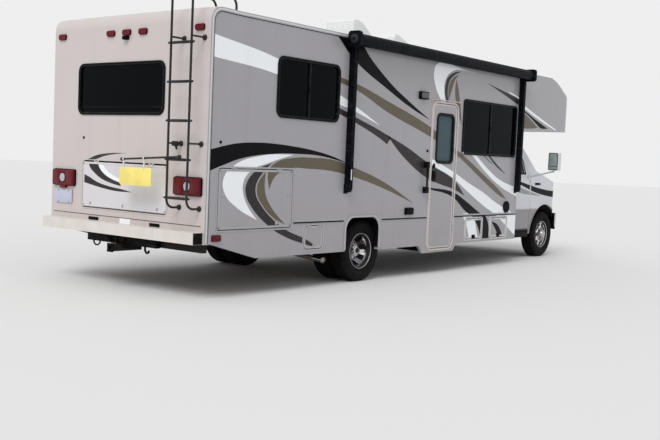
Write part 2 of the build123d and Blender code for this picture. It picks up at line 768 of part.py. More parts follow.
def knuckle(side):
    """Yoke, kingpin and wheel spindle of one steered wheel."""
    pin = place(front_axle_x, side * kingpin_y, axle_z) * Cylinder(kingpin_radius, 2 * steer_eye_half + 70)
    back = block((front_axle_x - 32, front_axle_x + 32), (side * (kingpin_y + 45), side * (kingpin_y + 70)),
                 (axle_z - 80, axle_z + 80))
    ears = [block((front_axle_x - 32, front_axle_x + 32), (side * (kingpin_y - 30), side * (kingpin_y + 60)),
                  (axle_z + low, axle_z + high)) for low, high in ((-80, -46), (46, 80))]
    spindle = rod((front_axle_x, side * (kingpin_y + 60), axle_z),
                  (front_axle_x, side * (front_tyre_y + 80), axle_z), spindle_radius)
    return sum_of([pin, back, spindle] + ears)


# Wheels

def turned(profile, x, y_middle, side):
    """Revolve a profile of (outboard distance, radius) points about the axle."""
    origin = (x - overall_middle, y_middle, axle_z)
    face = Plane(origin=origin, x_dir=(0, side, 0), z_dir=(side, 0, 0)) * outline(*profile)
    return revolve(face, axis=Axis(origin, (0, 1, 0)))


def tyre(x, y_middle, side):
    half = tyre_width / 2
    shape = [(rim_half, rim_seat), (rim_half, rim_flange + 1), (half - 12, rim_flange + 12), (half, 292),
             (half - 22, tyre_radius - 6), (half - 60, tyre_radius)]
    mirrored = [(-outboard, radius) for outboard, radius in reversed(shape)]
    return turned(shape + mirrored, x, y_middle, side)


def rim(x, y_middle, side, disc):
    """A rim barrel with its disc, given as (outboard distance, radius) points."""
    barrel = turned([(-rim_half - 8, rim_flange), (-rim_half, rim_flange), (-rim_half, rim_seat),
                     (rim_half, rim_seat), (rim_half, rim_flange), (rim_half + 8, rim_flange),
                     (rim_half + 8, rim_seat - 10), (-rim_half - 8, rim_seat - 10)], x, y_middle, side)
    return barrel + turned(disc, x, y_middle, side)


def front_wheel(side):
    y_middle = side * front_tyre_y
    bore = spindle_radius + running_gap
    disc = [(70, bore), (90, bore), (90, 75), (70, 80), (66, 118), (30, 160), (30, 194), (18, 194), (18, 156),
            (54, 112), (54, 70), (40, bore + 12), (40, bore)]
    return rim(front_axle_x, y_middle, side, disc)


def rear_wheels(side):
    bore = spindle_radius + running_gap
    hub_plane = (rear_outer_y + rear_inner_y) / 2
    reach = rear_outer_y - hub_plane
    outer = [(-reach, bore), (-reach + 160, bore), (-reach + 160, 60), (-reach + 40, 75), (-reach + 12, 118),
             (-50, 160), (-50, 194), (-62, 194), (-62, 156), (-reach, 112)]
    inner = [(reach, bore), (reach - 60, bore), (reach - 60, 80), (reach - 12, 90), (reach - 12, 118),
             (50, 160), (50, 194), (62, 194), (62, 156), (reach, 112)]
    return (rim(rear_axle_x, side * rear_outer_y, side, outer)
            + rim(rear_axle_x, side * rear_inner_y, side, inner))


def rear_tyres(side):
    return Compound(children=[tyre(rear_axle_x, side * y, side) for y in (rear_outer_y, rear_inner_y)])


# Cab

hood_front = (cab_nose - 400, cowl_z - 145)
nose_y = cab_half - 307      # the nose's corners start here in plan


def cab_form(inset):
    """The cab's outer form, or the same form shrunk inwards: three outlines crossed."""
    back = house_length - far
    slope = (cabover_front_z - cabover_rear_z) / (cabover_nose - 340 - house_length)
    top = [(header_x, cabover_rear_z + slope * (header_x - house_length)),
           (back, cabover_rear_z - slope * far)]
    side_view = outline((back, sill - far), (cab_nose - 20, sill - far), (cab_nose, belt - 345),
                        (cab_nose - 25, belt - 245), (cab_nose - 120, belt - 155), hood_front,
                        (cowl_x, cowl_z), *top)
    half_view = [(cab_half - 30, sill - far), (cab_half, sill + 360), (cab_half, belt - 195),
                 (cab_half - 20, belt), (cab_half - 200, cabover_rear_z + 60)]
    front_view = outline(*half_view, *[(-y, z) for y, z in reversed(half_view)])
    side_end = cab_nose - 440
    corner = (cab_nose - 170, cab_half - 75)
    plan = make_face([
        Line((back, -cab_half), (side_end, -cab_half)),
        ThreePointArc((side_end, -cab_half), (corner[0], -corner[1]), (cab_nose - 50, -nose_y)),
        ThreePointArc((cab_nose - 50, -nose_y), (cab_nose, 0), (cab_nose - 50, nose_y)),
        ThreePointArc((cab_nose - 50, nose_y), corner, (side_end, cab_half)),
        Line((side_end, cab_half), (back, cab_half)),
        Line((back, cab_half), (back, -cab_half)),
    ])
    if inset:
        corners = Kind.ARC if inset > 0 else Kind.INTERSECTION
        views = (side_view, front_view, plan)
        side_view, front_view, plan = (offset(view, -inset, kind=corners) for view in views)
    form = along_y(side_view, -cab_half - 60, cab_half + 60)
    form &= along_x(front_view, back - far, cab_nose + far)
    return form & along_z(plan, -far, cabover_rear_z + far)


door_x = (house_length + 40, front_axle_x - 544)
door_z = (sill + 80, cabover_rear_z - 55)
door_top_x = header_x - 70
door_front_z = belt + 15
hinge_lean = 0.1             # inward run of the cab doors' hinge lines for each unit of rise
door_outline = ((door_x[0], door_z[0]), (door_x[1], door_z[0]), (door_x[1], door_front_z),
                (door_top_x, door_z[1]), (door_x[0], door_z[1]))
leaf_x = (door_x[0] + cab_door_rear_gap, door_x[1] - door_gap)
leaf_z = (door_z[0] + door_gap, door_z[1] - cab_door_top_gap)
door_leaf = ((leaf_x[0], leaf_z[0]), (leaf_x[1], leaf_z[0]), (leaf_x[1], door_front_z - 3),
             (door_top_x - door_gap, leaf_z[1]), (leaf_x[0], leaf_z[1]))
door_window_cab = ((door_x[0] + 90, belt + 35), (door_x[1] - 160, belt + 35), (door_x[1] - 190, belt + 255),
                   (door_top_x - 30, door_z[1] - 65), (door_x[0] + 110, door_z[1] - 65))
screen_low, screen_high = cab_half - 157, cab_half - 277
screen_z = (cowl_z + 70, cabover_rear_z - 45)
screen_outline = ((-screen_low, screen_z[0]), (screen_low, screen_z[0]), (screen_high, screen_z[1]),
                  (-screen_high, screen_z[1]))
hood_back = cowl_x + 15
hood_outline = ((hood_back, -nose_y), (cab_nose - 20, 40 - nose_y), (cab_nose + 20, 0),
                (cab_nose - 20, nose_y - 40), (hood_back, nose_y))
hood_z = belt - 260          # the hood's front edge
lamp_proud = 15              # grille and headlamps stand out this far
grille_y = (577 - cab_half, cab_half - 577)
grille_z = (belt - 555, belt - 275)
slot_pitch = 42
slot_height = 24
headlamp_y = (cab_half - 527, cab_half - 147)
headlamp_z = (belt - 525, belt - 305)
firewall_x = engine_x[0] - 40
step_inner = cab_half - 227  # the cab's door steps start this far from the middle
step_z = sill + 60
cab_reach = cab_half + 93    # cutting forms reach out this far to each side


def cab_door_hinge(side):
    """The line leans in with the door, so that the upper rear corner swings clear."""
    return hinge((door_x[1] - door_gap / 2, side * (cab_half + hinge_out), belt - 195),
                 (0, hinge_lean, -side), (-1, 0, 0), (-side * 70,))


def hood_hinge():
    """Hinges along the cowl, square to the hood's slope."""
    fall = atan2(cowl_z - hood_front[1], hood_front[0] - cowl_x)
    return hinge((cowl_x + 12, 0, cowl_z + 2), (0, -1, 0), (cos(fall), 0, -sin(fall)), (-450, 450))


def door_prism(side, points):
    return along_y(outline(*points), side * nose_y, side * cab_reach)


def cab_parts():
    """Cab shell, doors, hood, panes, grille and headlamps, all cut from one form."""
    outer, inner = cab_form(0), cab_form(cab_skin)
    skin = outer - inner
    across = (-cab_reach, cab_reach)
    nose_span = (cab_nose - far, cab_nose + far)
    skin &= block((house_length, cab_nose + far), across, (sill, cabover_rear_z + far))
    skin -= place(front_axle_x, 0, axle_z) * Rot(90, 0, 0) * Cylinder(arch_radius, 2 * cab_reach)
    skin -= block((front_axle_x, cab_nose + far), across, (0, bumper_z[1] + 10))
    layer = cab_form(18) - cab_form(18 + pane)
    proud = cab_form(-lamp_proud) - outer
    parts = {}

    screen = along_x(outline(*screen_outline), header_x - 100, cowl_x + 50)
    parts["windshield"] = layer & screen
    skin -= screen

    hood_area = along_z(outline(*hood_outline), hood_z, cowl_z + far)
    gap = along_z(offset(outline(*hood_outline), door_gap), hood_z - door_gap, cowl_z + far)
    tabs, ears = hood_hinge()
    parts["hood"] = sum_of([skin & hood_area] + tabs)
    skin = sum_of([skin - gap] + ears)

    for side, name in ((right, "right"), (left, "left")):
        leaf_form = skin & door_prism(side, door_leaf)
        hole = door_prism(side, door_window_cab)
        tabs, ears = cab_door_hinge(side)
        parts["cab_door_" + name] = sum_of([leaf_form - hole] + tabs)
        parts["cab_door_glass_" + name] = layer & hole
        skin = sum_of([skin - door_prism(side, door_outline)] + ears)

    skin -= along_x(rounded(shrink(grille_y, 30), shrink(grille_z, 30), 30), *nose_span)
    grille = proud & along_x(rounded(grille_y, grille_z, 40), *nose_span)
    for z in range(grille_z[0] + 35, grille_z[1] - 40, slot_pitch):
        grille -= along_x(plain(shrink(grille_y, 35), (z, z + slot_height)), *nose_span)
    parts["grille"] = grille
    lamps = []
    for side in (right, left):
        lamp_y = sorted((side * headlamp_y[0], side * headlamp_y[1]))
        lamps.append(proud & along_x(rounded(lamp_y, headlamp_z, 40), *nose_span))
    parts["headlamps"] = Compound(children=lamps)

    floor_z, top = cab_floor_z
    floor = block((house_length, firewall_x), across, cab_floor_z)
    floor += block((firewall_x, firewall_x + board), across, (floor_z, cowl_z + 80))
    for side in (right, left):
        floor -= block(shrink(door_x, board), (side * step_inner, side * cab_reach), (0, top))
        well = block(door_x, (side * (step_inner - board), side * cab_reach), (step_z - board, top))
        floor += well
        floor -= block(shrink(door_x, board), (side * step_inner, side * cab_reach), (step_z, top))
    parts["cab_shell"] = skin
    parts["cab_floor"] = floor & inner
    for side, name in ((right, "right"), (left, "left")):
        parts["mirror_" + name] = mirror_unit(side) - outer
    return parts


def front_bumper():
    outer = nose_plan(bumper_front, cab_half + 8, 60)
    inner = nose_plan(bumper_back, cab_half - 77, 0)
    ahead = block((bumper_ends_x, bumper_front + far), (-cab_reach, cab_reach), (0, belt))
    return along_z(outer - inner, *bumper_z) & ahead


def nose_plan(front, half, bow):
    """A bumper outline in plan: rounded corners and a front that bows out ahead of them."""
    corner = 330
    back, shoulder = front_axle_x - 1024, front - bow
    edge = half - corner
    across = (ThreePointArc((shoulder, -edge), (front, 0), (shoulder, edge)) if bow
              else Line((shoulder, -edge), (shoulder, edge)))
    return make_face([
        Line((back, -half), (shoulder - corner, -half)),
        corner_arc(shoulder, -half, corner, -1),
        across,
        corner_arc(shoulder, half, corner, 1),
        Line((shoulder - corner, half), (back, half)),
        Line((back, half), (back, -half)),
    ])


def mirror_unit(side):
    """Mirror head on an arm whose foot sits on the door."""
    hinge_x = door_x[1]
    arm_end = (hinge_x + 5, side * (cab_half + 383))
    head = block((hinge_x - 50, hinge_x + 60), (side * (cab_half + 298), side * (cab_half + 478)),
                 (belt + 95, belt + 380))
    head = fillet(head.edges(), 20)
    arm = rod((hinge_x - 55, side * (cab_half - 7), belt - 25), (*arm_end, belt + 80), 14)
    post = rod((*arm_end, belt + 66), (*arm_end, belt + 115), 14)
    foot = block((hinge_x - 90, hinge_x - 20), (side * (cab_half - 47), side * (cab_half + 5)),
                 (belt - 60, belt))
    return sum_of([head, arm, post, foot])


# Side view of a seat: distance behind the firewall, height above the floor
seat_rows = ((800, 0), (350, 0), (350, 220), (310, 330), (360, 370), (720, 340), (840, 880), (950, 880),
             (860, 280), (800, 220))
seat_y = (cab_half - 767, cab_half - 247)


def cab_seats():
    profile = outline(*[(firewall_x - back, cab_floor_z[1] + up) for back, up in seat_rows])
    pair = [along_y(profile, side * seat_y[0], side * seat_y[1]) for side in (right, left)]
    return Compound(children=pair)


# Side view of the dashboard: distance behind the firewall, height below the belt
dash_rows = ((300, 335), (170, 395), (0, 405), (0, 45), (40, 15), (220, 15), (300, 65))


def dashboard():
    profile = outline(*[(firewall_x - back, belt - down) for back, down in dash_rows])
    half = cab_half - cab_skin - 22
    return along_y(profile, -half, half) + steering_wheel()


def steering_wheel():
    ring = Torus(185, 14)
    hub = Cylinder(50, 40)
    spokes = [Rot(0, 0, angle) * Pos(95, 0, 0) * Box(190, 34, 16) for angle in (90, 210, 330)]
    column = Pos(0, 0, -160) * Cylinder(28, 320)
    wheel = sum_of([ring, hub, column] + spokes)
    return place(firewall_x - 470, sum(seat_y) / 2, belt - 145) * Rot(0, -55, 0) * wheel


def write_parts(pieces):
    os.makedirs("parts", exist_ok=True)
    for name, piece in pieces.items():
        export_step(piece, "parts/" + name + ".step")


right_top_hinged = {"storage_door_right": storage_door, **right_hatches}
left_top_hinged = {"storage_door_left": storage_door, **left_hatches}


def ears_of(rows, side):
    return [ear for row in rows.values() for ear in top_hinge(row, side)[1]]


step_boards = entry_step()
for row in right_hatches.values():
    step_boards += locker(row)
for row in left_hatches.values():
    step_boards += locker(row, left)

pieces = {
    "chassis_frame": chassis_frame(),
    "body_bearers": body_bearers(),
    "engine": engine(),
    "exhaust": exhaust(),
    "under_tanks": under_tanks(),
    "rear_axle": rear_axle(),
    "front_axle": front_axle(),
    "knuckle_right": knuckle(right),
    "knuckle_left": knuckle(left),
    "front_tyre_right": tyre(front_axle_x, right * front_tyre_y, right),
    "front_tyre_left": tyre(front_axle_x, left * front_tyre_y, left),
    "front_wheel_right": front_wheel(right),
    "front_wheel_left": front_wheel(left),
    "rear_tyres_right": rear_tyres(right),
    "rear_tyres_left": rear_tyres(left),
    "rear_wheels_right": rear_wheels(right),
    "rear_wheels_left": rear_wheels(left),
    "house_floor": house_floor(),
    "side_wall_right": side_wall(right, [entry_opening, *right_top_hinged.values()], right_windows,
                                 skirt_right, entry_hinge()[1] + ears_of(right_top_hinged, right)),
    "side_wall_left": side_wall(left, left_top_hinged.values(), left_windows, skirt_left,
                                ears_of(left_top_hinged, left)),
    "rear_cap": rear_cap(),
    "roof_panel": along_x(crown(wall_top), cap_reach, house_length),
    "cabover_cap": cabover_cap(),
    "window_frames": Compound(children=[window_frame(row, right) for row in right_windows]
                              + [window_frame(row, left) for row in left_windows] + [rear_frame()]),
    "step_and_lockers": Compound(children=step_boards),
    "awning": awning(),
    "roof_units": Compound(children=[roof_ac(), *roof_vents()]),
    "wall_fittings": wall_fittings(),
    "rear_lamps": rear_lamps(),
    "rear_bumper": rear_bumper(),
    "hitch_receiver": hitch_receiver(),
    "ladder": ladder(),
    "hanging_board": hanging_board(),
    "entry_door": entry_door(),
    "entry_door_glass": entry_pane(),
    "rear_cargo_door": cargo_door(),
    "storage_door_right": leaf(storage_door, right, wall),
    "storage_door_left": leaf(storage_door, left, wall),
    "front_bumper": front_bumper(),
    "cab_seats": cab_seats(),
    "dashboard": dashboard(),
}
pieces.update({name: leaf(row, right, hatch_thickness) for name, row in right_hatches.items()})
pieces.update({name: leaf(row, left, hatch_thickness) for name, row in left_hatches.items()})
cab = cab_parts()
panes = [window_pane(row, right) for row in right_windows] + [window_pane(row, left) for row in left_windows]
panes += [rear_pane(), cab.pop("windshield")]
pieces["coach_glass"] = Compound(children=[solid for sheet in panes for solid in sheet.solids()])
pieces.update(cab)
write_parts(pieces)
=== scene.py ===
import math

import bmesh
import bpy
from mathutils import Matrix, Vector
from mathutils.bvhtree import BVHTree


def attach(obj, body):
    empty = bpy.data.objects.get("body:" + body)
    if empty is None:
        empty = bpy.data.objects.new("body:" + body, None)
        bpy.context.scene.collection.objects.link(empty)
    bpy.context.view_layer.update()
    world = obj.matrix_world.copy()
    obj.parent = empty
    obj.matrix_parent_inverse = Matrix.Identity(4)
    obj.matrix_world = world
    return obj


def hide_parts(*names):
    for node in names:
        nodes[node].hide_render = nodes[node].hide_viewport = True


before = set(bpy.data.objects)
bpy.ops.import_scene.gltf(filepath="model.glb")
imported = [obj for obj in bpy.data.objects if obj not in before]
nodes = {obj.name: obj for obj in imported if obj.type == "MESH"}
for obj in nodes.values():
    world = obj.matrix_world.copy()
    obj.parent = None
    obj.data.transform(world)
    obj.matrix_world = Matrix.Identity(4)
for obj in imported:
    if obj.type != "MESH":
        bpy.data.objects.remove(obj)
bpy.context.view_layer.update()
scene = bpy.context.scene
print("frame loaded:", len(nodes), "nodes")

# Lengths are metres. x in the tables below counts forward from the rear wall's face.
rearToMiddle = 4.2845
bodyHalf = 1.2575
cabHalf = 1.007
right, left = -1, 1
sideNames = {right: "right", left: "left"}
weld = 1e-5


def at(x, y, z):
    return Vector((x - rearToMiddle, y, z))


# Each of these turns (along, up, out) into the vehicle's own directions
def onSide(side, half=bodyHalf):
    return Matrix(((1, 0, 0, -rearToMiddle), (0, 0, side, side * half), (0, 1, 0, 0), (0, 0, 0, 1)))


def onRear(back=0.0):
    return Matrix(((0, 0, -1, -rearToMiddle - back), (-1, 0, 0, 0), (0, 1, 0, 0), (0, 0, 0, 1)))


# Shaping helpers

def layAt(matrix, whole, *parts):
    # the parts join the whole, turned by the matrix
    for part in parts:
        bmesh.ops.transform(part, matrix=matrix, verts=part.verts)
    lay(whole, *parts)


def lay(whole, *parts):
    for part in parts:
        carrier = bpy.data.meshes.new("carrier")
        part.to_mesh(carrier)
        part.free()
        whole.from_mesh(carrier)
        bpy.data.meshes.remove(carrier)


def raiseFaces(part):
    # a copy of all faces joined to them by walls, of which the vertices are given back
    raised = bmesh.ops.extrude_face_region(part, geom=part.faces[:], use_keep_orig=True)
    return [g for g in raised["geom"] if isinstance(g, bmesh.types.BMVert)]


def keepRim(part, rim):
    # only a ring of that width stays of a flat face
    inner = bmesh.ops.inset_region(part, faces=part.faces[:], thickness=rim, use_even_offset=True, use_boundary=True)
    kept = set(inner["faces"])
    bmesh.ops.delete(part, geom=[f for f in part.faces if f not in kept], context="FACES")


def cutBy(part, spot, normal, dist=1e-6, **more):
    bmesh.ops.bisect_plane(part, geom=part.verts[:] + part.edges[:] + part.faces[:], dist=dist, plane_co=spot,
        plane_no=normal, **more)


def spanOf(side, near, far):
    # from the middle plane outwards to that side, the lower value first
    return sorted((side * near, side * far))


def grown(rect, by):
    return rect[0] - by, rect[1] + by, rect[2] - by, rect[3] + by


def plate(u, v, radius, low, high, edge=0.0, rim=0.0, corner=6):
    # a rounded plate, or a ring of width rim, from height low to high
    part = bmesh.new()
    corners = [part.verts.new((a, b, low)) for a, b in ((u[0], v[0]), (u[1], v[0]), (u[1], v[1]), (u[0], v[1]))]
    part.faces.new(corners)
    if radius:
        bmesh.ops.bevel(part, geom=corners, offset=radius, segments=corner, profile=0.5, affect="VERTICES",
            material=-1)
    if rim:
        keepRim(part, rim)
    topVerts = raiseFaces(part)
    bmesh.ops.translate(part, vec=(0, 0, high - low), verts=topVerts)
    bmesh.ops.recalc_face_normals(part, faces=part.faces)
    if edge:
        top = set(topVerts)
        rounding = [e for e in part.edges if e.verts[0] in top and e.verts[1] in top and e.calc_face_angle(0) > 1]
        bmesh.ops.bevel(part, geom=rounding, offset=edge, segments=2, profile=0.5, affect="EDGES", material=-1)
    return part


def plateOn(rect, by, radius, low, high, **more):
    # a plate over a rectangle, grown by that much on each side
    x0, x1, z0, z1 = grown(rect, by)
    return plate((x0, x1), (z0, z1), radius, low, high, **more)


def slab(low, high, edge=0.0, segments=2):
    part = bmesh.new()
    bmesh.ops.create_cube(part, size=1)
    low, high = Vector(low), Vector(high)
    bmesh.ops.scale(part, vec=[abs(d) for d in high - low], verts=part.verts)
    bmesh.ops.translate(part, vec=(low + high) / 2, verts=part.verts)
    if edge:
        bmesh.ops.bevel(part, geom=part.edges[:], offset=edge, segments=segments, profile=0.5, affect="EDGES",
            material=-1)
    return part


def bar(start, end, radius, radiusEnd=None, segments=20, edge=0.0):
    part = bmesh.new()
    start, end = Vector(start), Vector(end)
    run = end - start
    bmesh.ops.create_cone(part, cap_ends=True, segments=segments, radius1=radius,
        radius2=radius if radiusEnd is None else radiusEnd, depth=run.length)
    if edge:
        rims = [e for e in part.edges if abs(e.verts[0].co.z - e.verts[1].co.z) < 1e-6]
        bmesh.ops.bevel(part, geom=rims, offset=edge, segments=2, profile=0.5, affect="EDGES", material=-1)
    turn = run.to_track_quat("Z", "Y").to_matrix().to_4x4()
    bmesh.ops.transform(part, matrix=Matrix.Translation((start + end) / 2) @ turn, verts=part.verts)
    return part


def spun(profile, steps=64):
    # rows of (out, radius), turned about the Z axis with out along Z
    part = bmesh.new()
    line = [part.verts.new((radius, 0, out)) for out, radius in profile]
    edges = [part.edges.new(pair) for pair in zip(line, line[1:])]
    bmesh.ops.spin(part, geom=line + edges, cent=(0, 0, 0), axis=(0, 0, 1), angle=math.tau, steps=steps,
        use_merge=True)
    bmesh.ops.remove_doubles(part, verts=part.verts, dist=weld)
    bmesh.ops.recalc_face_normals(part, faces=part.faces)
    return part


def curvePart(points, radius=0.0, smooth=True, closed=False, profile=None, flat=False):
    # a tube, a swept profile or a filled flat outline along the points
    curve = bpy.data.curves.new("line", "CURVE")
    curve.dimensions = "2D" if flat else "3D"
    curve.resolution_u = 8
    curve.fill_mode = "NONE" if profile else ("BOTH" if flat else "FULL")
    spline = curve.splines.new("BEZIER" if smooth else "POLY")
    rows = spline.bezier_points if smooth else spline.points
    rows.add(len(points) - 1)
    for row, point in zip(rows, points):
        x, y, z = point[:3]
        row.co = (x, y, z) if smooth else (x, y, z, 1)
        if smooth:
            row.handle_left_type = row.handle_right_type = "VECTOR" if len(point) > 3 else "AUTO"
    spline.use_cyclic_u = closed
    if profile:
        curve.bevel_mode = "OBJECT"
        curve.bevel_object = profile
        curve.use_fill_caps = True
    elif radius:
        curve.bevel_depth = radius
        curve.bevel_resolution = 4
        curve.use_fill_caps = True
    holder = bpy.data.objects.new("line", curve)
    scene.collection.objects.link(holder)
    bpy.context.view_layer.update()
    mesh = bpy.data.meshes.new_from_object(holder.evaluated_get(bpy.context.evaluated_depsgraph_get()))
    part = bmesh.new()
    part.from_mesh(mesh)
    bpy.data.meshes.remove(mesh)
    bpy.data.objects.remove(holder)
    bpy.data.curves.remove(curve)
    bmesh.ops.remove_doubles(part, verts=part.verts, dist=weld)
    return part


def profileCurve(width, height):
    curve = bpy.data.curves.new("section", "CURVE")
    curve.dimensions = "2D"
    spline = curve.splines.new("POLY")
    chamfer = min(width, height) * 0.25
    a, b = width / 2, height / 2
    ring = ((-a, -b), (a, -b), (a, b - chamfer), (a - chamfer, b), (-a + chamfer, b), (-a, b - chamfer))
    spline.points.add(len(ring) - 1)
    for point, (x, y) in zip(spline.points, ring):
        point.co = (x, y, 0, 1)
    spline.use_cyclic_u = True
    holder = bpy.data.objects.new("section", curve)
    scene.collection.objects.link(holder)
    return holder


def strip(points, width, height, matrix, whole):
    # a moulding of that width and height laid along a path drawn in (along, up)
    section = profileCurve(width, height)
    part = curvePart([(x, y, 0) for x, y in points], smooth=False, profile=section, flat=True)
    bpy.data.curves.remove(section.data)
    layAt(matrix @ Matrix.Translation((0, 0, height / 2 - 0.001)), whole, part)


def finish(name, whole, look, body="coach", replaced=(), sharp=35, subdivide=0, solid=0.0):
    bmesh.ops.recalc_face_normals(whole, faces=whole.faces)
    mesh = bpy.data.meshes.new(name)
    whole.to_mesh(mesh)
    whole.free()
    mesh.shade_smooth()
    mesh.set_sharp_from_angle(angle=math.radians(sharp))
    piece = bpy.data.objects.new(name, mesh)
    scene.collection.objects.link(piece)
    for each in (look,) if isinstance(look, str) else look:
        mesh.materials.append(looks[each])
    if solid:
        wallModifier = piece.modifiers.new("wall", "SOLIDIFY")
        wallModifier.thickness = solid
        wallModifier.offset = -1
    if subdivide:
        rounding = piece.modifiers.new("round", "SUBSURF")
        rounding.levels = rounding.render_levels = subdivide
    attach(piece, body)
    if replaced:
        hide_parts(*replaced)
    return piece


# Materials

def tint(r, g, b):
    # screen values 0 to 255 as the linear colour a shader takes
    return tuple(((c / 255 + 0.055) / 1.055) ** 2.4 if c > 10 else c / 255 / 12.92 for c in (r, g, b)) + (1,)


def darker(color, share):
    return tuple(c * share for c in color[:3]) + (1,)


class Builder:
    # adds nodes to a tree; a value that is a socket is linked, any other is set
    def __init__(self, tree):
        self.tree = tree

    def fill(self, node, values):
        for key, value in values.items():
            if isinstance(value, bpy.types.NodeSocket):
                self.tree.links.new(value, node.inputs[key])
            else:
                node.inputs[key].default_value = value
        return node

    def add(self, kind, values=None, **settings):
        node = self.tree.nodes.new("ShaderNode" + kind)
        for key, value in settings.items():
            setattr(node, key, value)
        return self.fill(node, values or {})

    def place(self):
        return self.add("TexCoord").outputs["Object"]

    def height(self, place):
        return self.add("SeparateXYZ", {"Vector": place}).outputs["Z"]

    def noise(self, place, scale, detail, **more):
        return self.add("TexNoise", {"Vector": place, "Scale": scale, "Detail": detail, **more}).outputs["Fac"]

    def wave(self, place, scale, direction, **more):
        return self.add("TexWave", {"Vector": place, "Scale": scale, **more},
            bands_direction=direction).outputs["Fac"]

    def drawn(self, place, **more):
        return self.add("Mapping", {"Vector": place, **more}).outputs["Vector"]

    def spread(self, value, low, high, more=None, **settings):
        values = {"Value": value, "From Min": low, "From Max": high, **(more or {})}
        return self.add("MapRange", values, **settings).outputs["Result"]

    def mix(self, factor, first, second, **settings):
        return self.add("Mix", {"Factor": factor, 6: first, 7: second}, data_type="RGBA", **settings).outputs[2]

    def maths(self, operation, *values, clamp=False):
        return self.add("Math", dict(enumerate(values)), operation=operation, use_clamp=clamp).outputs[0]

    def bump(self, height, strength, distance, **more):
        values = {"Height": height, "Strength": strength, "Distance": distance, **more}
        return self.add("Bump", values).outputs["Normal"]

    def group(self, tree, values):
        return self.add("Group", values, node_tree=tree)


def newGroup(name, inputs, **outputs):
    tree = bpy.data.node_groups.new(name, "ShaderNodeTree")
    for label, value in inputs.items():
        kind = "NodeSocketColor" if isinstance(value, tuple) else "NodeSocketFloat"
        tree.interface.new_socket(name=label, in_out="INPUT", socket_type=kind).default_value = value
    for label, kind in outputs.items():
        tree.interface.new_socket(name=label, in_out="OUTPUT", socket_type="NodeSocket" + kind)
    return Builder(tree), tree.nodes.new("NodeGroupInput").outputs, tree.nodes.new("NodeGroupOutput")


def makeRoadFilm():
    # dust that thins out with height, broken up by noise
    make, given, out = newGroup("road film", {"Color": (0.5, 0.5, 0.5, 1), "Dust": (0.3, 0.27, 0.22, 1), "Low": 0.3,
        "High": 1.2, "Amount": 0.5, "Scale": 6.0}, Color="Color", Mask="Float")
    place = make.place()
    ramp = make.spread(make.height(place), given["High"], given["Low"], interpolation_type="SMOOTHSTEP")
    cloud = make.spread(make.noise(place, given["Scale"], 6.0, Roughness=0.65), 0.3, 0.75)
    both = make.maths("MULTIPLY", make.maths("ADD", ramp, 0.12), cloud)
    mask = make.maths("MULTIPLY", both, given["Amount"], clamp=True)
    make.fill(out, {"Color": make.mix(mask, given["Color"], given["Dust"]), "Mask": mask})
    return make.tree


def makeDrawnMask(name, scale, amount, detail, low, high, patch, **mapping):
    # noise drawn out along one way and kept in patches
    make, given, out = newGroup(name, {"Scale": scale, "Amount": amount}, Mask="Float")
    place = make.place()
    sharp = make.spread(make.noise(make.drawn(place, **mapping), given["Scale"], detail), low, high)
    both = make.maths("MULTIPLY", sharp, make.noise(place, *patch))
    make.fill(out, {"Mask": make.maths("MULTIPLY", both, given["Amount"], clamp=True)})
    return make.tree


def makeGrain():
    # fine surface grain: a value for roughness and a normal
    make, given, out = newGroup("fine grain", {"Scale": 400.0, "Bump": 0.1, "Wave Scale": 2.0, "Wave": 0.05},
        Value="Float", Normal="Vector")
    place = make.place()
    fine = make.noise(place, given["Scale"], 3.0)
    wave = make.bump(make.noise(place, given["Wave Scale"], 2.0), given["Wave"], 0.1)
    make.fill(out, {"Value": fine, "Normal": make.bump(fine, given["Bump"], 0.002, Normal=wave)})
    return make.tree


roadFilm, fineGrain = makeRoadFilm(), makeGrain()
rainStreaks = makeDrawnMask("rain streaks", 8.0, 0.5, 5.0, 0.5, 0.72, (1.3, 3.0), Scale=(1, 1, 0.06))
rubbedWear = makeDrawnMask("rubbed wear", 30.0, 0.3, 8.0, 0.58, 0.66, (3.0, 4.0), Rotation=(0.4, 0.9, 0.3),
    Scale=(1, 0.08, 1))
looks = {}


def newMaterial(name):
    material = bpy.data.materials.new(name)
    material.use_nodes = True
    material.node_tree.nodes.clear()
    make = Builder(material.node_tree)
    shader = make.add("BsdfPrincipled")
    make.add("OutputMaterial", {"Surface": shader.outputs["BSDF"]})
    looks[name] = material
    return make, shader


# What a painted look has where its row below says nothing; colours are screen values
paintDefaults = dict(
    toneScale=1.5, patch=0.5, streakScale=9.0, streaks=0.15, dirt=(96, 88, 76), wearScale=40.0, wear=0.1,
    under=(170, 168, 164), dust=(150, 140, 122), low=0.35, high=1.1, film=0.3, filmScale=5.0, grainScale=350.0,
    grain=0.08, waveScale=1.2, wave=0.02, roughness=0.35, roughSpread=0.12, dustRough=0.45, metallic=0.0,
    specular=0.5, coat=0.0, coatRoughness=0.08)


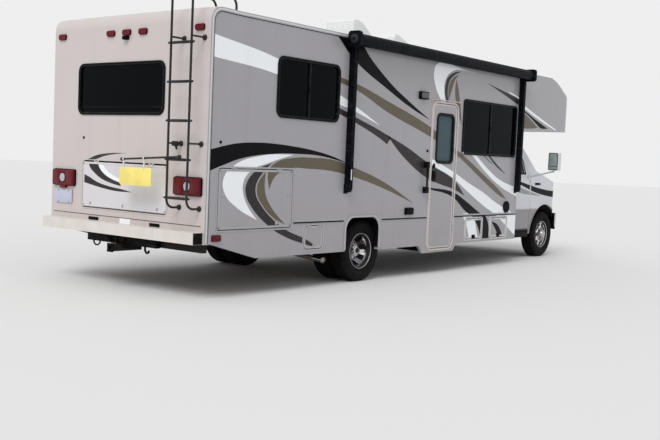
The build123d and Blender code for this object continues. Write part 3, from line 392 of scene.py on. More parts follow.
def paintedLook(name, row):
    # paint, plastic or metal with tone changes, dust, rain runs, wear and grain, and where a row asks for it painted
    # light or shade by height
    look = {**paintDefaults, **row}
    color, dirt, under, dust = (tint(*look[key]) for key in ("color", "dirt", "under", "dust"))
    second = tint(*look["second"]) if "second" in look else darker(color, 0.9)
    make, shader = newMaterial(name)
    place, half = make.place(), look["patch"]
    shade = make.mix(make.spread(make.noise(place, look["toneScale"], 4.0), 0.5 - half, 0.5 + half), color, second)
    # painted light: below a given height the colour turns to a set tone, painting shade or a reflection that the lamps
    # don't give
    if "paintedLightByHeight" in look:
        low, high, paintedLightTone = look["paintedLightByHeight"]
        ramp = make.spread(make.height(place), high, low, interpolation_type="SMOOTHSTEP")
        shade = make.mix(ramp, shade, tint(*paintedLightTone))
    runs = make.group(rainStreaks, {"Scale": look["streakScale"], "Amount": look["streaks"]}).outputs["Mask"]
    worn = make.group(rubbedWear, {"Scale": look["wearScale"], "Amount": look["wear"]}).outputs["Mask"]
    film = make.group(roadFilm, {"Color": make.mix(worn, make.mix(runs, shade, dirt), under), "Dust": dust,
        "Low": look["low"], "High": look["high"], "Amount": look["film"], "Scale": look["filmScale"]}).outputs
    grain = make.group(fineGrain, {"Scale": look["grainScale"], "Bump": look["grain"],
        "Wave Scale": look["waveScale"], "Wave": look["wave"]}).outputs
    rough = make.maths("MULTIPLY_ADD", film["Mask"], look["dustRough"], look["roughness"])
    make.fill(shader, {"Base Color": film["Color"], "Normal": grain["Normal"],
        "Roughness": make.maths("MULTIPLY_ADD", grain["Value"], look["roughSpread"], rough, clamp=True),
        "Metallic": look["metallic"], "Specular IOR Level": look["specular"], "Coat Weight": look["coat"],
        "Coat Roughness": look["coatRoughness"]})


paintLooks = {
    "champagneWall": dict(color=(165, 163, 168), second=(157, 155, 161), roughness=0.3, coat=0.25, streaks=0.1,
        film=0.25, wave=0.012, grain=0.02, toneScale=0.6),
    "creamCap": dict(color=(208, 199, 197), second=(200, 191, 188), roughness=0.32, coat=0.2, streaks=0.08, film=0.2,
        wave=0.02, grain=0.03, toneScale=0.8),
    "cargoPale": dict(color=(221, 219, 223), second=(212, 209, 213), roughness=0.3, coat=0.2, streaks=0.08, film=0.15,
        grain=0.02, toneScale=1.2),
    "bumperCream": dict(color=(229, 224, 219), second=(221, 215, 209), roughness=0.35, film=0.25, streaks=0.08,
        grain=0.03, toneScale=1.5),
    "roofMembrane": dict(color=(214, 214, 212), second=(192, 190, 184), roughness=0.75, streaks=0.0, film=0.4,
        low=2.9, high=3.4, grain=0.3, grainScale=160.0, toneScale=2.5),
    # white cab paint; the grey below the crease is painted shade, a painted reflection of the dark ground on the lower
    # door
    "whiteCab": dict(color=(213, 215, 223), second=(206, 208, 216), roughness=0.22, coat=0.5, streaks=0.06, film=0.2,
        grain=0.01, wave=0.01, toneScale=0.7, paintedLightByHeight=(0.785, 0.82, (131, 128, 130))),
    "cabGreyFilm": dict(color=(150, 146, 148), second=(143, 139, 141), roughness=0.28, coat=0.2, film=0.1, grain=0.02,
        streaks=0.04),
    "archGrey": dict(color=(184, 182, 187), second=(174, 172, 177), roughness=0.35, film=0.25, streaks=0.1,
        grain=0.05),
    "trimBlack": dict(color=(6, 7, 10), second=(12, 13, 16), roughness=0.45, film=0.08, dust=(56, 54, 51),
        specular=0.06, grain=0.2, grainScale=600.0, streaks=0.04, dirt=(60, 58, 54)),
    "trimGrey": dict(color=(178, 179, 182), second=(162, 163, 167), roughness=0.35, metallic=0.35, film=0.2,
        grain=0.05, streaks=0.15, wear=0.15),
    "trimWhite": dict(color=(219, 220, 222), second=(207, 208, 209), roughness=0.4, film=0.25, streaks=0.15,
        grain=0.05),
    "frameBlack": dict(color=(9, 10, 14), second=(14, 15, 19), roughness=0.35, film=0.06, specular=0.1, dust=(90, 88,
        84), low=1.4, high=2.6, grain=0.06, streaks=0.04, dirt=(80, 78, 74)),
    "chassisPaint": dict(color=(12, 12, 14), second=(22, 20, 20), roughness=0.6, film=0.3, specular=0.18, dust=(86,
        78, 68), low=0.2, high=0.9, grain=0.4, grainScale=120.0, toneScale=6.0, wear=0.2, under=(46, 38, 33)),
    "castGrey": dict(color=(88, 88, 87), second=(62, 60, 59), roughness=0.55, metallic=0.5, film=0.4, grain=0.5,
        grainScale=150.0, toneScale=5.0, dirt=(50, 40, 32), streaks=0.5),
    "pipeSteel": dict(color=(150, 148, 146), second=(118, 100, 84), roughness=0.3, metallic=0.9, film=0.4,
        toneScale=5.0, grain=0.1, dirt=(90, 66, 48), streaks=0.4),
    "tankBlack": dict(color=(26, 26, 28), second=(36, 35, 35), roughness=0.5, film=0.3, specular=0.2, dust=(92, 86,
        76), grain=0.5, grainScale=90.0),
    "wheelSteel": dict(color=(52, 52, 53), second=(36, 34, 33), roughness=0.5, metallic=0.2, specular=0.2, film=0.3,
        dust=(90, 84, 76), low=0.1, high=0.8, grain=0.2, toneScale=4.0, streaks=0.1),
    "wheelChrome": dict(color=(196, 196, 199), second=(172, 170, 170), roughness=0.1, metallic=1.0, film=0.25,
        dust=(120, 112, 102), low=0.1, high=0.8, filmScale=14.0, grain=0.02, toneScale=5.0),
    # chrome for the wheel's deep dish: a dark painted shade broken by small painted glints, and a painted bright
    # reflection over its lower part
    "chromePaintedShadeAndGlints": dict(color=(84, 77, 74), second=(246, 246, 250), roughness=0.16, metallic=1.0, film=0.15, dust=(84,
        76, 68), low=0.1, high=0.8, filmScale=14.0, grain=0.02, toneScale=11.0, patch=0.05, paintedLightByHeight=(0.325, 0.35, (228,
        228, 234))),
    "mirrorWhite": dict(color=(220, 221, 224), second=(210, 211, 214), roughness=0.3, coat=0.3, film=0.15, low=1.2,
        high=1.8, grain=0.1),
    "awningBlack": dict(color=(3, 5, 11), second=(7, 9, 16), roughness=0.42, film=0.03, specular=0.07, dust=(90, 90,
        94), low=1.0, high=3.2, grain=0.15, grainScale=300.0, dirt=(78, 79, 84), streaks=0.05),
    # grey for the awning's screws; on the roller's end caps this paler grey is a painted highlight on the black head
    "awningGrey": dict(color=(32, 34, 43), second=(25, 27, 35), roughness=0.4, film=0.05, specular=0.3, low=1.0,
        high=3.2, grain=0.1, streaks=0.05),
    "ladderBlack": dict(color=(22, 21, 24), second=(33, 31, 35), roughness=0.36, film=0.1, specular=0.3, dust=(104,
        98, 98), low=0.8, high=3.2, grain=0.05, wear=0.15, under=(96, 94, 98)),
    "unitWhite": dict(color=(243, 245, 247), second=(232, 234, 235), roughness=0.45, film=0.15, low=2.9, high=3.3,
        grain=0.25, grainScale=200.0, streaks=0.12),
    "boardYellow": dict(color=(255, 238, 134), second=(249, 228, 120), roughness=0.5, film=0.08, low=0.9, high=1.5,
        grain=0.15, toneScale=6.0, wear=0.1, under=(250, 240, 190)),
    "strapWhite": dict(color=(226, 226, 222), second=(208, 206, 200), roughness=0.8, grain=0.6, grainScale=700.0,
        film=0.2),
    "vinylWhite": dict(color=(249, 252, 255), second=(242, 246, 252), roughness=0.25, coat=0.2, film=0.1, grain=0.02,
        streaks=0.03),
    "vinylTaupe": dict(color=(97, 88, 71), second=(90, 81, 65), roughness=0.28, specular=0.35, film=0.08, grain=0.02,
        streaks=0.04, dirt=(130, 122, 108)),
    "vinylGrey": dict(color=(47, 43, 43), second=(42, 38, 38), roughness=0.3, specular=0.2, film=0.07, dust=(110, 104,
        96), grain=0.02, streaks=0.04, dirt=(90, 86, 80)),
    "vinylBlack": dict(color=(10, 10, 14), second=(14, 14, 18), roughness=0.3, specular=0.06, wear=0.03, film=0.03,
        dust=(90, 86, 80), grain=0.02, streaks=0.03, dirt=(72, 70, 68)),
    "plateBlank": dict(color=(196, 204, 221), second=(187, 195, 213), roughness=0.35, film=0.2, grain=0.05),
    "mirrorGlass": dict(color=(172, 186, 186), roughness=0.06, metallic=0.3, film=0.05, grain=0.0, streaks=0.0),
}
for paintName, paintRow in paintLooks.items():
    paintedLook(paintName, paintRow)


def glassLook(name, screenColor, weight, roughness, bend, shine):
    color = tint(*screenColor)
    make, shader = newMaterial(name)
    place = make.place()
    smear = make.noise(place, 4.0, 6.0)
    rough = make.spread(smear, 0.35, 0.8, {"To Min": roughness, "To Max": roughness + 0.07})
    make.fill(shader, {"Base Color": make.mix(smear, color, darker(color, 0.8)), "Roughness": rough,
        "Normal": make.bump(make.noise(place, 1.6, 1.0), 0.03, 0.05), "Transmission Weight": weight,
        "Specular IOR Level": shine, "IOR": bend})


glassLook("coachGlass", (4, 8, 14), 0.35, 0.02, 1.2, 0.06)
glassLook("entryGlass", (70, 100, 108), 0.3, 0.06, 1.3, 0.4)
glassLook("cabGlass", (60, 78, 80), 0.85, 0.01, 1.35, 0.4)


def lensLook(name, color, deep):
    # ribbed coloured plastic over a reflector
    make, shader = newMaterial(name)
    ribs = make.wave(make.place(), 22.0, "Y", Distortion=0.0)
    film = make.group(roadFilm, {"Color": make.mix(ribs, tint(*color), tint(*deep)), "Amount": 0.06, "Low": 0.5,
        "High": 3.2}).outputs
    make.fill(shader, {"Base Color": film["Color"], "Normal": make.bump(ribs, 0.35, 0.003), "Roughness": 0.16,
        "Specular IOR Level": 0.15})


lensLook("lensRed", (118, 2, 28), (80, 1, 18))
lensLook("lensClear", (206, 210, 214), (150, 154, 160))
lensLook("lensSmoke", (124, 119, 124), (100, 96, 101))
lensLook("lensAmber", (226, 140, 40), (176, 92, 20))


def rubberLook():
    make, shader = newMaterial("tyreRubber")
    place = make.place()
    mottled = make.noise(place, 9.0, 8.0)
    film = make.group(roadFilm, {"Color": make.mix(mottled, tint(10, 10, 11), tint(17, 17, 18)),
        "Dust": tint(58, 55, 51), "Low": 0.0, "High": 0.9, "Amount": 0.2, "Scale": 12.0}).outputs
    rough = make.add("MapRange", {"Value": mottled, "To Min": 0.62, "To Max": 0.88}).outputs["Result"]
    make.fill(shader, {"Base Color": film["Color"], "Roughness": rough, "Specular IOR Level": 0.1,
        "Normal": make.bump(make.noise(place, 500.0, 2.0), 0.3, 0.002)})


def woodLook():
    make, shader = newMaterial("floorWood")
    place = make.place()
    grain = make.noise(make.drawn(place, Scale=(0.5, 8, 8)), 4.0, 8.0)
    planks = make.add("TexBrick", {"Vector": place, "Scale": 1.0, "Mortar Size": 0.002, "Brick Width": 1.2,
        "Row Height": 0.14, "Color1": tint(132, 104, 76), "Color2": tint(112, 86, 62),
        "Mortar": tint(56, 44, 34)}).outputs["Color"]
    make.fill(shader, {"Base Color": make.mix(grain, planks, tint(88, 66, 46), blend_type="MULTIPLY"),
        "Normal": make.bump(grain, 0.15, 0.002), "Roughness": 0.5})


def clothLook():
    make, shader = newMaterial("seatCloth")
    place = make.place()
    weave = make.maths("MULTIPLY", make.wave(place, 300.0, "Y"), make.wave(place, 300.0, "Z"))
    base = make.mix(make.noise(place, 5.0, 5.0), tint(112, 102, 90), tint(92, 84, 74))
    make.fill(shader, {"Base Color": make.mix(weave, base, tint(130, 120, 106)), "Roughness": 0.9,
        "Normal": make.bump(weave, 0.3, 0.002), "Sheen Weight": 0.3})


rubberLook()
woodLook()
clothLook()
print("materials made:", len(looks))

# The CAD nodes that each look finishes
nodeLooks = {
    "champagneWall": (
        "side_wall_right side_wall_left cabover_cap entry_door storage_door_right storage_door_left "
        "hatch_right_rear hatch_right_mid hatch_right_front hatch_left_mid"),
    "creamCap": "rear_cap",
    "roofMembrane": "roof_panel",
    "cargoPale": "rear_cargo_door",
    "bumperCream": "rear_bumper",
    "frameBlack": "window_frames",
    "coachGlass": "coach_glass",
    "entryGlass": "entry_door_glass",
    "cabGlass": "cab_door_glass_right cab_door_glass_left",
    "whiteCab": "cab_shell hood cab_door_right cab_door_left",
    "trimBlack": "grille cab_floor dashboard step_and_lockers wall_fittings",
    "lensClear": "headlamps",
    "wheelChrome": "front_bumper",
    "mirrorWhite": "mirror_right mirror_left",
    "seatCloth": "cab_seats",
    "floorWood": "house_floor",
    "chassisPaint": "chassis_frame body_bearers rear_axle front_axle knuckle_right knuckle_left hitch_receiver",
    "castGrey": "engine",
    "pipeSteel": "exhaust",
    "tankBlack": "under_tanks",
    "awningBlack": "awning",
    "unitWhite": "roof_units",
    "lensRed": "rear_lamps",
    "ladderBlack": "ladder",
    "boardYellow": "hanging_board",
    "tyreRubber": "front_tyre_right front_tyre_left rear_tyres_right rear_tyres_left",
    "wheelSteel": "front_wheel_right front_wheel_left rear_wheels_right rear_wheels_left",
}
for lookName, nodeNames in nodeLooks.items():
    for nodeName in nodeNames.split():
        nodeMesh = nodes[nodeName].data
        nodeMesh.materials.clear()
        nodeMesh.materials.append(looks[lookName])
print("CAD nodes finished:", sum(len(nodeNames.split()) for nodeNames in nodeLooks.values()))

# Camera, lights and floor

cameraSet = {"place": (-10.7475, -7.956, 1.467), "yaw": 38.429, "pitch": -3.691, "roll": 2.461, "lens": 51.33}


def makeCamera():
    yaw, pitch, roll = (math.radians(cameraSet[key]) for key in ("yaw", "pitch", "roll"))
    forward = Vector((math.cos(yaw) * math.cos(pitch), math.sin(yaw) * math.cos(pitch), math.sin(pitch)))
    level = Vector((math.sin(yaw), -math.cos(yaw), 0))
    upward = level.cross(forward)
    across = level * math.cos(roll) + upward * math.sin(roll)
    above = upward * math.cos(roll) - level * math.sin(roll)
    data = bpy.data.cameras.new("camera")
    data.lens = cameraSet["lens"]
    data.sensor_width = 36
    camera = bpy.data.objects.new("camera", data)
    turn = Matrix((across, above, -forward)).transposed().to_4x4()
    camera.matrix_world = Matrix.Translation(cameraSet["place"]) @ turn
    scene.collection.objects.link(camera)
    scene.camera = camera


stageSet = {"floor": 0.8, "backdrop": 0.86, "ambient": 0.62, "sun": 1.55, "sunTurn": (42, 0, -68), "sunSoft": 30}


def grey(level):
    return level, level, level, 1


def makeStage():
    part = bmesh.new()
    bmesh.ops.create_circle(part, cap_ends=True, segments=64, radius=90)
    mesh = bpy.data.meshes.new("floor")
    part.to_mesh(mesh)
    part.free()
    floor = bpy.data.objects.new("floor", mesh)
    floor.location.z = -0.001
    scene.collection.objects.link(floor)
    make, shader = newMaterial("floorPale")
    make.fill(shader, {"Base Color": grey(stageSet["floor"]), "Roughness": 0.9, "Specular IOR Level": 0.1})
    mesh.materials.append(looks["floorPale"])

    world = bpy.data.worlds.new("studio")
    scene.world = world
    world.use_nodes = True
    world.node_tree.nodes.clear()
    make = Builder(world.node_tree)
    rays = make.add("LightPath").outputs
    seen = make.maths("MAXIMUM", rays["Is Camera Ray"], rays["Is Glossy Ray"])
    seen = make.maths("MAXIMUM", seen, rays["Is Transmission Ray"])
    shade = make.mix(seen, grey(stageSet["ambient"]), grey(stageSet["backdrop"]))
    ground = make.add("Background", {"Color": shade, "Strength": 1.0})
    make.add("OutputWorld", {"Surface": ground.outputs[0]})

    sunData = bpy.data.lights.new("sun", "SUN")
    sunData.energy = stageSet["sun"]
    sunData.angle = math.radians(stageSet["sunSoft"])
    sun = bpy.data.objects.new("sun", sunData)
    sun.rotation_euler = [math.radians(a) for a in stageSet["sunTurn"]]
    scene.collection.objects.link(sun)


makeCamera()
makeStage()
scene.view_settings.view_transform = "Standard"
print("camera, lights and floor made")

# Painted bands on the sides

# Each shape: upper edge, then lower edge, as (along, up) from its start to its tip
bands = {
    "vinylTaupe": (
        (((2.03, 2.412), (2.4, 2.355), (3.0, 2.21), (4.0, 1.945), (4.7, 1.67), (5.0, 1.55), (5.5, 1.33), (6.0, 1.1),
          (6.2, 0.98)),
         ((2.03, 2.352), (2.4, 2.28), (3.0, 2.08), (4.0, 1.82), (4.7, 1.6), (5.0, 1.47), (5.5, 1.24), (6.0, 1.03),
          (6.2, 0.98))),
        (((0.92, 1.12), (0.9, 1.31), (1.0, 1.4), (1.3, 1.465), (1.6, 1.475), (2.0, 1.46), (2.4, 1.38), (3.0, 1.22),
          (3.7, 0.945)),
         ((0.92, 1.12), (1.0, 1.25), (1.2, 1.34), (1.6, 1.35), (2.0, 1.33), (2.4, 1.27), (3.0, 1.14), (3.7, 0.945))),
        (((0.86, 1.31), (0.74, 1.17), (0.74, 1.07), (0.82, 0.96), (1.0, 0.82), (1.2, 0.74)),
         ((0.86, 1.31), (0.86, 1.1), (0.95, 0.95), (1.2, 0.74))),
        (((4.42, 2.31), (4.41, 2.5), (4.5, 2.62), (4.66, 2.69)),
         ((4.42, 2.31), (4.5, 2.48), (4.56, 2.6), (4.66, 2.69))),
        (((4.6, 2.62), (4.58, 2.45), (4.66, 2.22), (4.8, 2.0)),
         ((4.6, 2.62), (4.66, 2.5), (4.74, 2.25), (4.8, 2.0))),
        (((6.6, 2.3), (6.85, 2.205), (7.1, 2.095)), ((6.6, 2.06), (6.85, 2.07), (7.1, 2.095))),
    ),
    "vinylWhite": (
        (((0.045, 2.64), (0.985, 2.5), (2.05, 2.21), (2.35, 2.105), (2.88, 1.9)),
         ((0.045, 2.42), (0.985, 2.335), (2.05, 2.1), (2.35, 2.04), (2.88, 1.9))),
        (((1.3, 1.5), (0.8, 1.475), (0.35, 1.345), (0.24, 1.23), (0.25, 1.1), (0.45, 0.93), (0.75, 0.8)),
         ((1.3, 1.5), (0.9, 1.4), (0.63, 1.31), (0.53, 1.2), (0.53, 1.08), (0.6, 0.95), (0.75, 0.8))),
        (((5.15, 2.74), (4.75, 2.77), (4.3, 2.8), (4.08, 2.76), (4.03, 2.65), (4.09, 2.47), (4.27, 2.27)),
         ((5.15, 2.74), (4.75, 2.755), (4.5, 2.72), (4.33, 2.6), (4.3, 2.45), (4.37, 2.27))),
        (((4.06, 1.535), (4.68, 1.355), (5.0, 1.24), (5.5, 1.08), (5.9, 0.93), (6.52, 0.75)),
         ((4.06, 1.46), (4.68, 1.265), (5.0, 1.12), (5.5, 0.9), (5.9, 0.75), (6.52, 0.43))),
        (((5.22, 1.62), (5.6, 1.42), (6.0, 1.26), (6.52, 1.16)),
         ((5.1, 1.62), (5.6, 1.34), (6.0, 1.17), (6.52, 1.02))),
        (((4.94, 0.79), (5.2, 0.77), (5.4, 0.44)), ((4.94, 0.76), (5.04, 0.66), (5.15, 0.44))),
        (((6.1, 2.575), (6.3, 2.545), (6.52, 2.495)), ((6.1, 2.56), (6.3, 2.52), (6.52, 2.46))),
        (((6.52, 2.435), (7.1, 2.27), (7.75, 2.1)), ((6.52, 2.385), (7.1, 2.23), (7.75, 2.08))),
    ),
    "vinylGrey": (
        (((2.03, 2.07), (2.37, 1.975), (2.9, 1.835), (3.12, 1.765)),
         ((2.03, 2.0), (2.37, 1.91), (2.9, 1.74), (3.04, 1.68))),
        (((3.16, 1.76), (3.5, 1.655), (4.0, 1.47), (4.12, 1.43), (4.67, 1.255), (4.97, 1.04)),
         ((3.02, 1.8), (3.4, 1.545), (4.0, 1.27), (4.3, 1.2), (4.67, 1.13), (4.97, 1.04))),
        (((0.95, 1.4), (0.7, 1.31), (0.57, 1.17), (0.57, 1.07), (0.65, 0.95), (0.92, 0.74), (1.12, 0.64),
         (1.55, 0.51),
          (1.75, 0.47)),
         ((0.95, 1.4), (0.82, 1.3), (0.72, 1.17), (0.72, 1.07), (0.8, 0.96), (1.0, 0.8), (1.2, 0.69), (1.6, 0.55),
          (1.75, 0.47))),
        (((4.37, 2.27), (4.32, 2.45), (4.36, 2.6), (4.5, 2.69), (4.72, 2.735)),
         ((4.43, 2.27), (4.39, 2.45), (4.43, 2.58), (4.53, 2.66), (4.72, 2.735))),
        (((5.45, 2.64), (6.0, 2.56), (6.42, 2.49)), ((5.45, 2.64), (6.0, 2.51), (6.42, 2.4))),
        (((5.45, 1.62), (5.7, 1.505)), ((5.42, 1.62), (5.7, 1.495))),
        (((5.62, 1.62), (5.9, 1.47), (6.15, 1.35)), ((5.56, 1.62), (5.85, 1.46), (6.15, 1.35))),
    ),
    "vinylBlack": (
        (((2.45, 2.86), (2.5, 2.79), (3.0, 2.46), (3.5, 2.23), (4.0, 2.03)),
         ((1.99, 2.86), (2.2, 2.7), (2.37, 2.6), (3.0, 2.35), (3.5, 2.17), (4.0, 2.03))),
        (((0.045, 1.515), (0.4, 1.585), (0.75, 1.608), (1.0, 1.605), (1.27, 1.59), (1.6, 1.56), (2.0, 1.495),
         (2.25, 1.43)),
         ((0.045, 1.305), (0.2, 1.355), (0.5, 1.44), (1.0, 1.5), (1.35, 1.51), (1.75, 1.5), (2.25, 1.43))),
        (((4.06, 1.15), (4.66, 1.09), (5.0, 0.97), (5.4, 0.8), (5.62, 0.72), (5.75, 0.42)),
         ((4.06, 1.13), (4.66, 1.02), (5.0, 0.83), (5.25, 0.72), (5.38, 0.6), (5.5, 0.42))),
        (((5.8, 0.66), (5.98, 0.6), (6.15, 0.42)), ((5.8, 0.64), (5.9, 0.55), (6.02, 0.42))),
        (((6.62, 2.335), (7.0, 2.22), (7.45, 2.1)),
         ((6.62, 2.31), (6.8, 2.25), (7.05, 2.15), (7.2, 2.095), (7.45, 2.1))),
    ),
}
filmHeights = {"vinylTaupe": 0.0006, "vinylWhite": 0.0008, "vinylGrey": 0.001, "vinylBlack": 0.0012}
# How deep a laid form reaches into what carries it, and how far the bands stay off an edge
sunk = 0.0004
leafGap, windowLap, entryLap = 0.008, 0.014, 0.01
# Openings in the side walls: x low, x high, z low, z high, and the body that fills them
sideOpenings = {
    right: ((0.165, 1.3, 0.705, 1.335, "storage_door_right"), (1.52, 1.86, 0.45, 0.72, "hatch_right_rear"),
            (5.03, 5.5, 0.425, 0.72, "hatch_right_mid"), (5.73, 6.24, 0.425, 0.72, "hatch_right_front"),
            (4.055, 4.675, 0.335, 2.27, "entry_door")),
    left: ((0.165, 1.3, 0.705, 1.335, "storage_door_left"), (3.5, 4.15, 0.425, 0.72, "hatch_left_mid")),
}
# Windows in the side walls: x low, x high, z low, z high, corner radius
sideWindows = {
    right: ((0.985, 2.055, 1.885, 2.54, 0.09), (4.82, 6.38, 1.61, 2.375, 0.06)),
    left: ((0.985, 2.055, 1.885, 2.54, 0.09), (3.0, 3.62, 1.75, 2.375, 0.06),
     (4.5, 6.06, 1.61, 2.375, 0.06)),
}
entryWindow = (4.18, 4.58, 1.495, 2.12, 0.06)


def inside(point, rect, by=0.0):
    return rect[0] + by < point.x < rect[1] - by and rect[2] + by < point.y < rect[3] - by


def cutAlong(part, rect):
    for x in rect[:2]:
        cutBy(part, (x, 0, 0), (1, 0, 0))
    for z in rect[2:]:
        cutBy(part, (0, z, 0), (0, 1, 0))


def bandShape(upper, lower):
    ring = list(upper) + list(reversed(lower))
    ring = [p for i, p in enumerate(ring) if p != ring[i - 1]]
    corners = {upper[0], upper[-1], lower[0], lower[-1]}
    return curvePart([(x, z, 0, 1) if (x, z) in corners else (x, z, 0) for x, z in ring], closed=True, flat=True)


def thicken(part, height):
    bmesh.ops.translate(part, vec=(0, 0, height), verts=raiseFaces(part))


def layBands(side):
    openings, windows = sideOpenings[side], sideWindows[side]
    for look, shapes in bands.items():
        whole = bmesh.new()
        for upper, lower in shapes:
            lay(whole, bandShape(upper, lower))
        cuts = [row[:4] for row in openings] + [grown(row, -leafGap) for row in openings]
        cuts += [grown(row, -windowLap) for row in windows] + [grown(entryWindow, entryLap)]
        for rect in cuts:
            cutAlong(whole, rect)
        owners = {}
        for face in whole.faces:
            spot = face.calc_center_median()
            owner = "coach"
            for row in openings:
                if inside(spot, row):
                    owner = row[4] if inside(spot, row, leafGap) else None
            if any(inside(spot, row, windowLap) for row in windows):
                owner = None
            if side == right and inside(spot, entryWindow, -entryLap):
                owner = None
            owners.setdefault(owner, []).append(face.index)
        for owner, indices in owners.items():
            if owner is None:
                continue
            part = whole.copy()
            part.faces.ensure_lookup_table()
            keep = set(indices)
            bmesh.ops.delete(part, geom=[f for f in part.faces if f.index not in keep], context="FACES")
            thicken(part, sunk + filmHeights[look])
            bmesh.ops.transform(part, matrix=onSide(side) @ Matrix.Translation((0, 0, -sunk)), verts=part.verts)
            finish(look + "_" + owner + "_" + sideNames[side], part, look, owner, sharp=20)
        whole.free()


for wallSide in (right, left):
    layBands(wallSide)
print("side bands laid")

# Rings of trim round the leaves and their openings
doorTrim = {"leafRim": 0.024, "leafProud": 0.003, "wallRim": 0.016, "wallOut": 0.018, "wallProud": 0.0045}


def leafRing(rect, radius, rim, proud):
    return plateOn(rect, -leafGap, max(radius - leafGap, 0.006), -0.001, proud, edge=0.001, rim=rim)


def wallRing(rect, radius, out=doorTrim["wallOut"], rim=doorTrim["wallRim"], proud=doorTrim["wallProud"]):
    return plateOn(rect, out, radius + out, -0.001, proud, edge=0.0015, rim=rim)


latchSet = {"width": 0.09, "height": 0.052, "thick": 0.007, "lever": 0.034, "leverProud": 0.012}


def latch(whole, matrix, x, z):
    wide, high = latchSet["width"] / 2, latchSet["height"] / 2
    layAt(matrix, whole, plate((x - wide, x + wide), (z - high, z + high), 0.012, -0.001, latchSet["thick"],
        edge=0.002))
    lever = latchSet["lever"] / 2
    layAt(matrix, whole, plate((x - wide + 0.014, x + wide - 0.014), (z - lever, z + lever * 0.5), 0.008, 0.004,
        latchSet["leverProud"], edge=0.002), bar((x + wide - 0.02, z + high - 0.011, 0.004),
        (x + wide - 0.02, z + high - 0.011, 0.0095), 0.006, segments=16, edge=0.001))


# Corner radius, look of the ring and latch spots for each leaf
leafTrims = {
    "storage_door": (0.03, "trimGrey", ((0.42, 0.757), (1.05, 0.757), (0.232, 1.06), (1.235, 1.06)), "trimGrey"),
    "hatch_right_rear": (0.06, "archGrey", ((1.69, 0.482),), "trimGrey"),
    "hatch_right_mid": (0.03, "trimWhite", ((5.265, 0.458),), "trimBlack"),
    "hatch_right_front": (0.03, "trimWhite", ((5.985, 0.458),), "trimBlack"),
    "hatch_left_mid": (0.03, "trimWhite", ((3.825, 0.458),), "trimBlack"),
}


def trimSideLeaves(side):
    matrix = onSide(side)
    for row in sideOpenings[side]:
        body = row[4]
        if body == "entry_door":
            continue
        radius, ringLook, latches, latchLook = leafTrims["storage_door" if body.startswith("storage") else body]
        ring, frameRing, catches = bmesh.new(), bmesh.new(), bmesh.new()
        layAt(matrix, ring, leafRing(row, radius, doorTrim["leafRim"], doorTrim["leafProud"]))
        layAt(matrix, frameRing, wallRing(row, radius))
        for x, z in latches:
            if latchLook == "trimBlack":
                latch(catches, matrix, x, z)
            else:
                layAt(matrix, catches, bar((x, z, -0.001), (x, z, 0.006), 0.017, edge=0.002),
                    bar((x, z, 0.005), (x, z, 0.009), 0.009, edge=0.001))
        finish(body + "_leafTrim", ring, ringLook, body)
        finish(body + "_frameTrim", frameRing, ringLook)
        finish(body + "_latches", catches, latchLook, body)


for wallSide in (right, left):
    trimSideLeaves(wallSide)


entryTrim = {"frameRim": 0.024, "frameOut": 0.026, "frameProud": 0.009, "leafRim": 0.02, "handle": (4.135, 1.31),
    "dripZ": 2.312, "hingeGap": 0.014}


def trimEntryDoor():
    matrix = onSide(right)
    rect = sideOpenings[right][4][:4]
    frameRing, leafTrim, glassTrim, hardware = bmesh.new(), bmesh.new(), bmesh.new(), bmesh.new()
    layAt(matrix, frameRing, wallRing(rect, 0.095, entryTrim["frameOut"], entryTrim["frameRim"],
        entryTrim["frameProud"]))
    strip([(3.99, entryTrim["dripZ"] - 0.014), (4.05, entryTrim["dripZ"]), (4.68, entryTrim["dripZ"]),
        (4.74, entryTrim["dripZ"] - 0.014)], 0.012, 0.026, matrix, frameRing)
    hingeFree = (rect[0], rect[1] - entryTrim["hingeGap"], rect[2], rect[3])
    layAt(matrix, leafTrim, leafRing(hingeFree, 0.09, entryTrim["leafRim"], 0.0035))
    layAt(matrix, glassTrim, plateOn(entryWindow, 0.024, 0.084, -0.002, 0.011, edge=0.003, rim=0.038),
        plateOn(entryWindow, -0.001, 0.059, -0.038, 0.002, rim=0.013))
    x, z = entryTrim["handle"]
    layAt(matrix, hardware, plate((x - 0.045, x + 0.045), (z - 0.075, z + 0.065), 0.014, -0.001, 0.012, edge=0.003),
        plate((x - 0.03, x + 0.03), (z - 0.03, z + 0.012), 0.01, 0.01, 0.03, edge=0.004),
        bar((x, z + 0.04, 0.01), (x, z + 0.04, 0.02), 0.011, edge=0.002),
        plate((x - 0.024, x + 0.024), (z + 0.1, z + 0.16), 0.02, -0.001, 0.01, edge=0.002),
        bar((x, z + 0.13, 0.008), (x, z + 0.13, 0.016), 0.012, edge=0.002))
    finish("entryFrame", frameRing, "creamCap")
    finish("entryLeafTrim", leafTrim, "creamCap", "entry_door")
    finish("entryWindowFrame", glassTrim, "frameBlack", "entry_door")
    finish("entryHandle", hardware, "trimBlack", "entry_door")


trimEntryDoor()

# Mouldings along the sides, as rows of (along, up)
mouldings = {
    "low": 0.767, "lowWidth": 0.034, "lowProud": 0.006, "insertWidth": 0.016, "insertProud": 0.0085,
    "runs": {right: ((1.33, 2.235), (3.0, 4.015), (4.715, 6.515)), left: ((1.33, 2.235), (3.0, 6.515))},
    "cornerMiddle": 0.0225, "cornerRadius": 0.1275, "cornerCentre": (0.15, 2.765), "roofRail": 2.887,
}


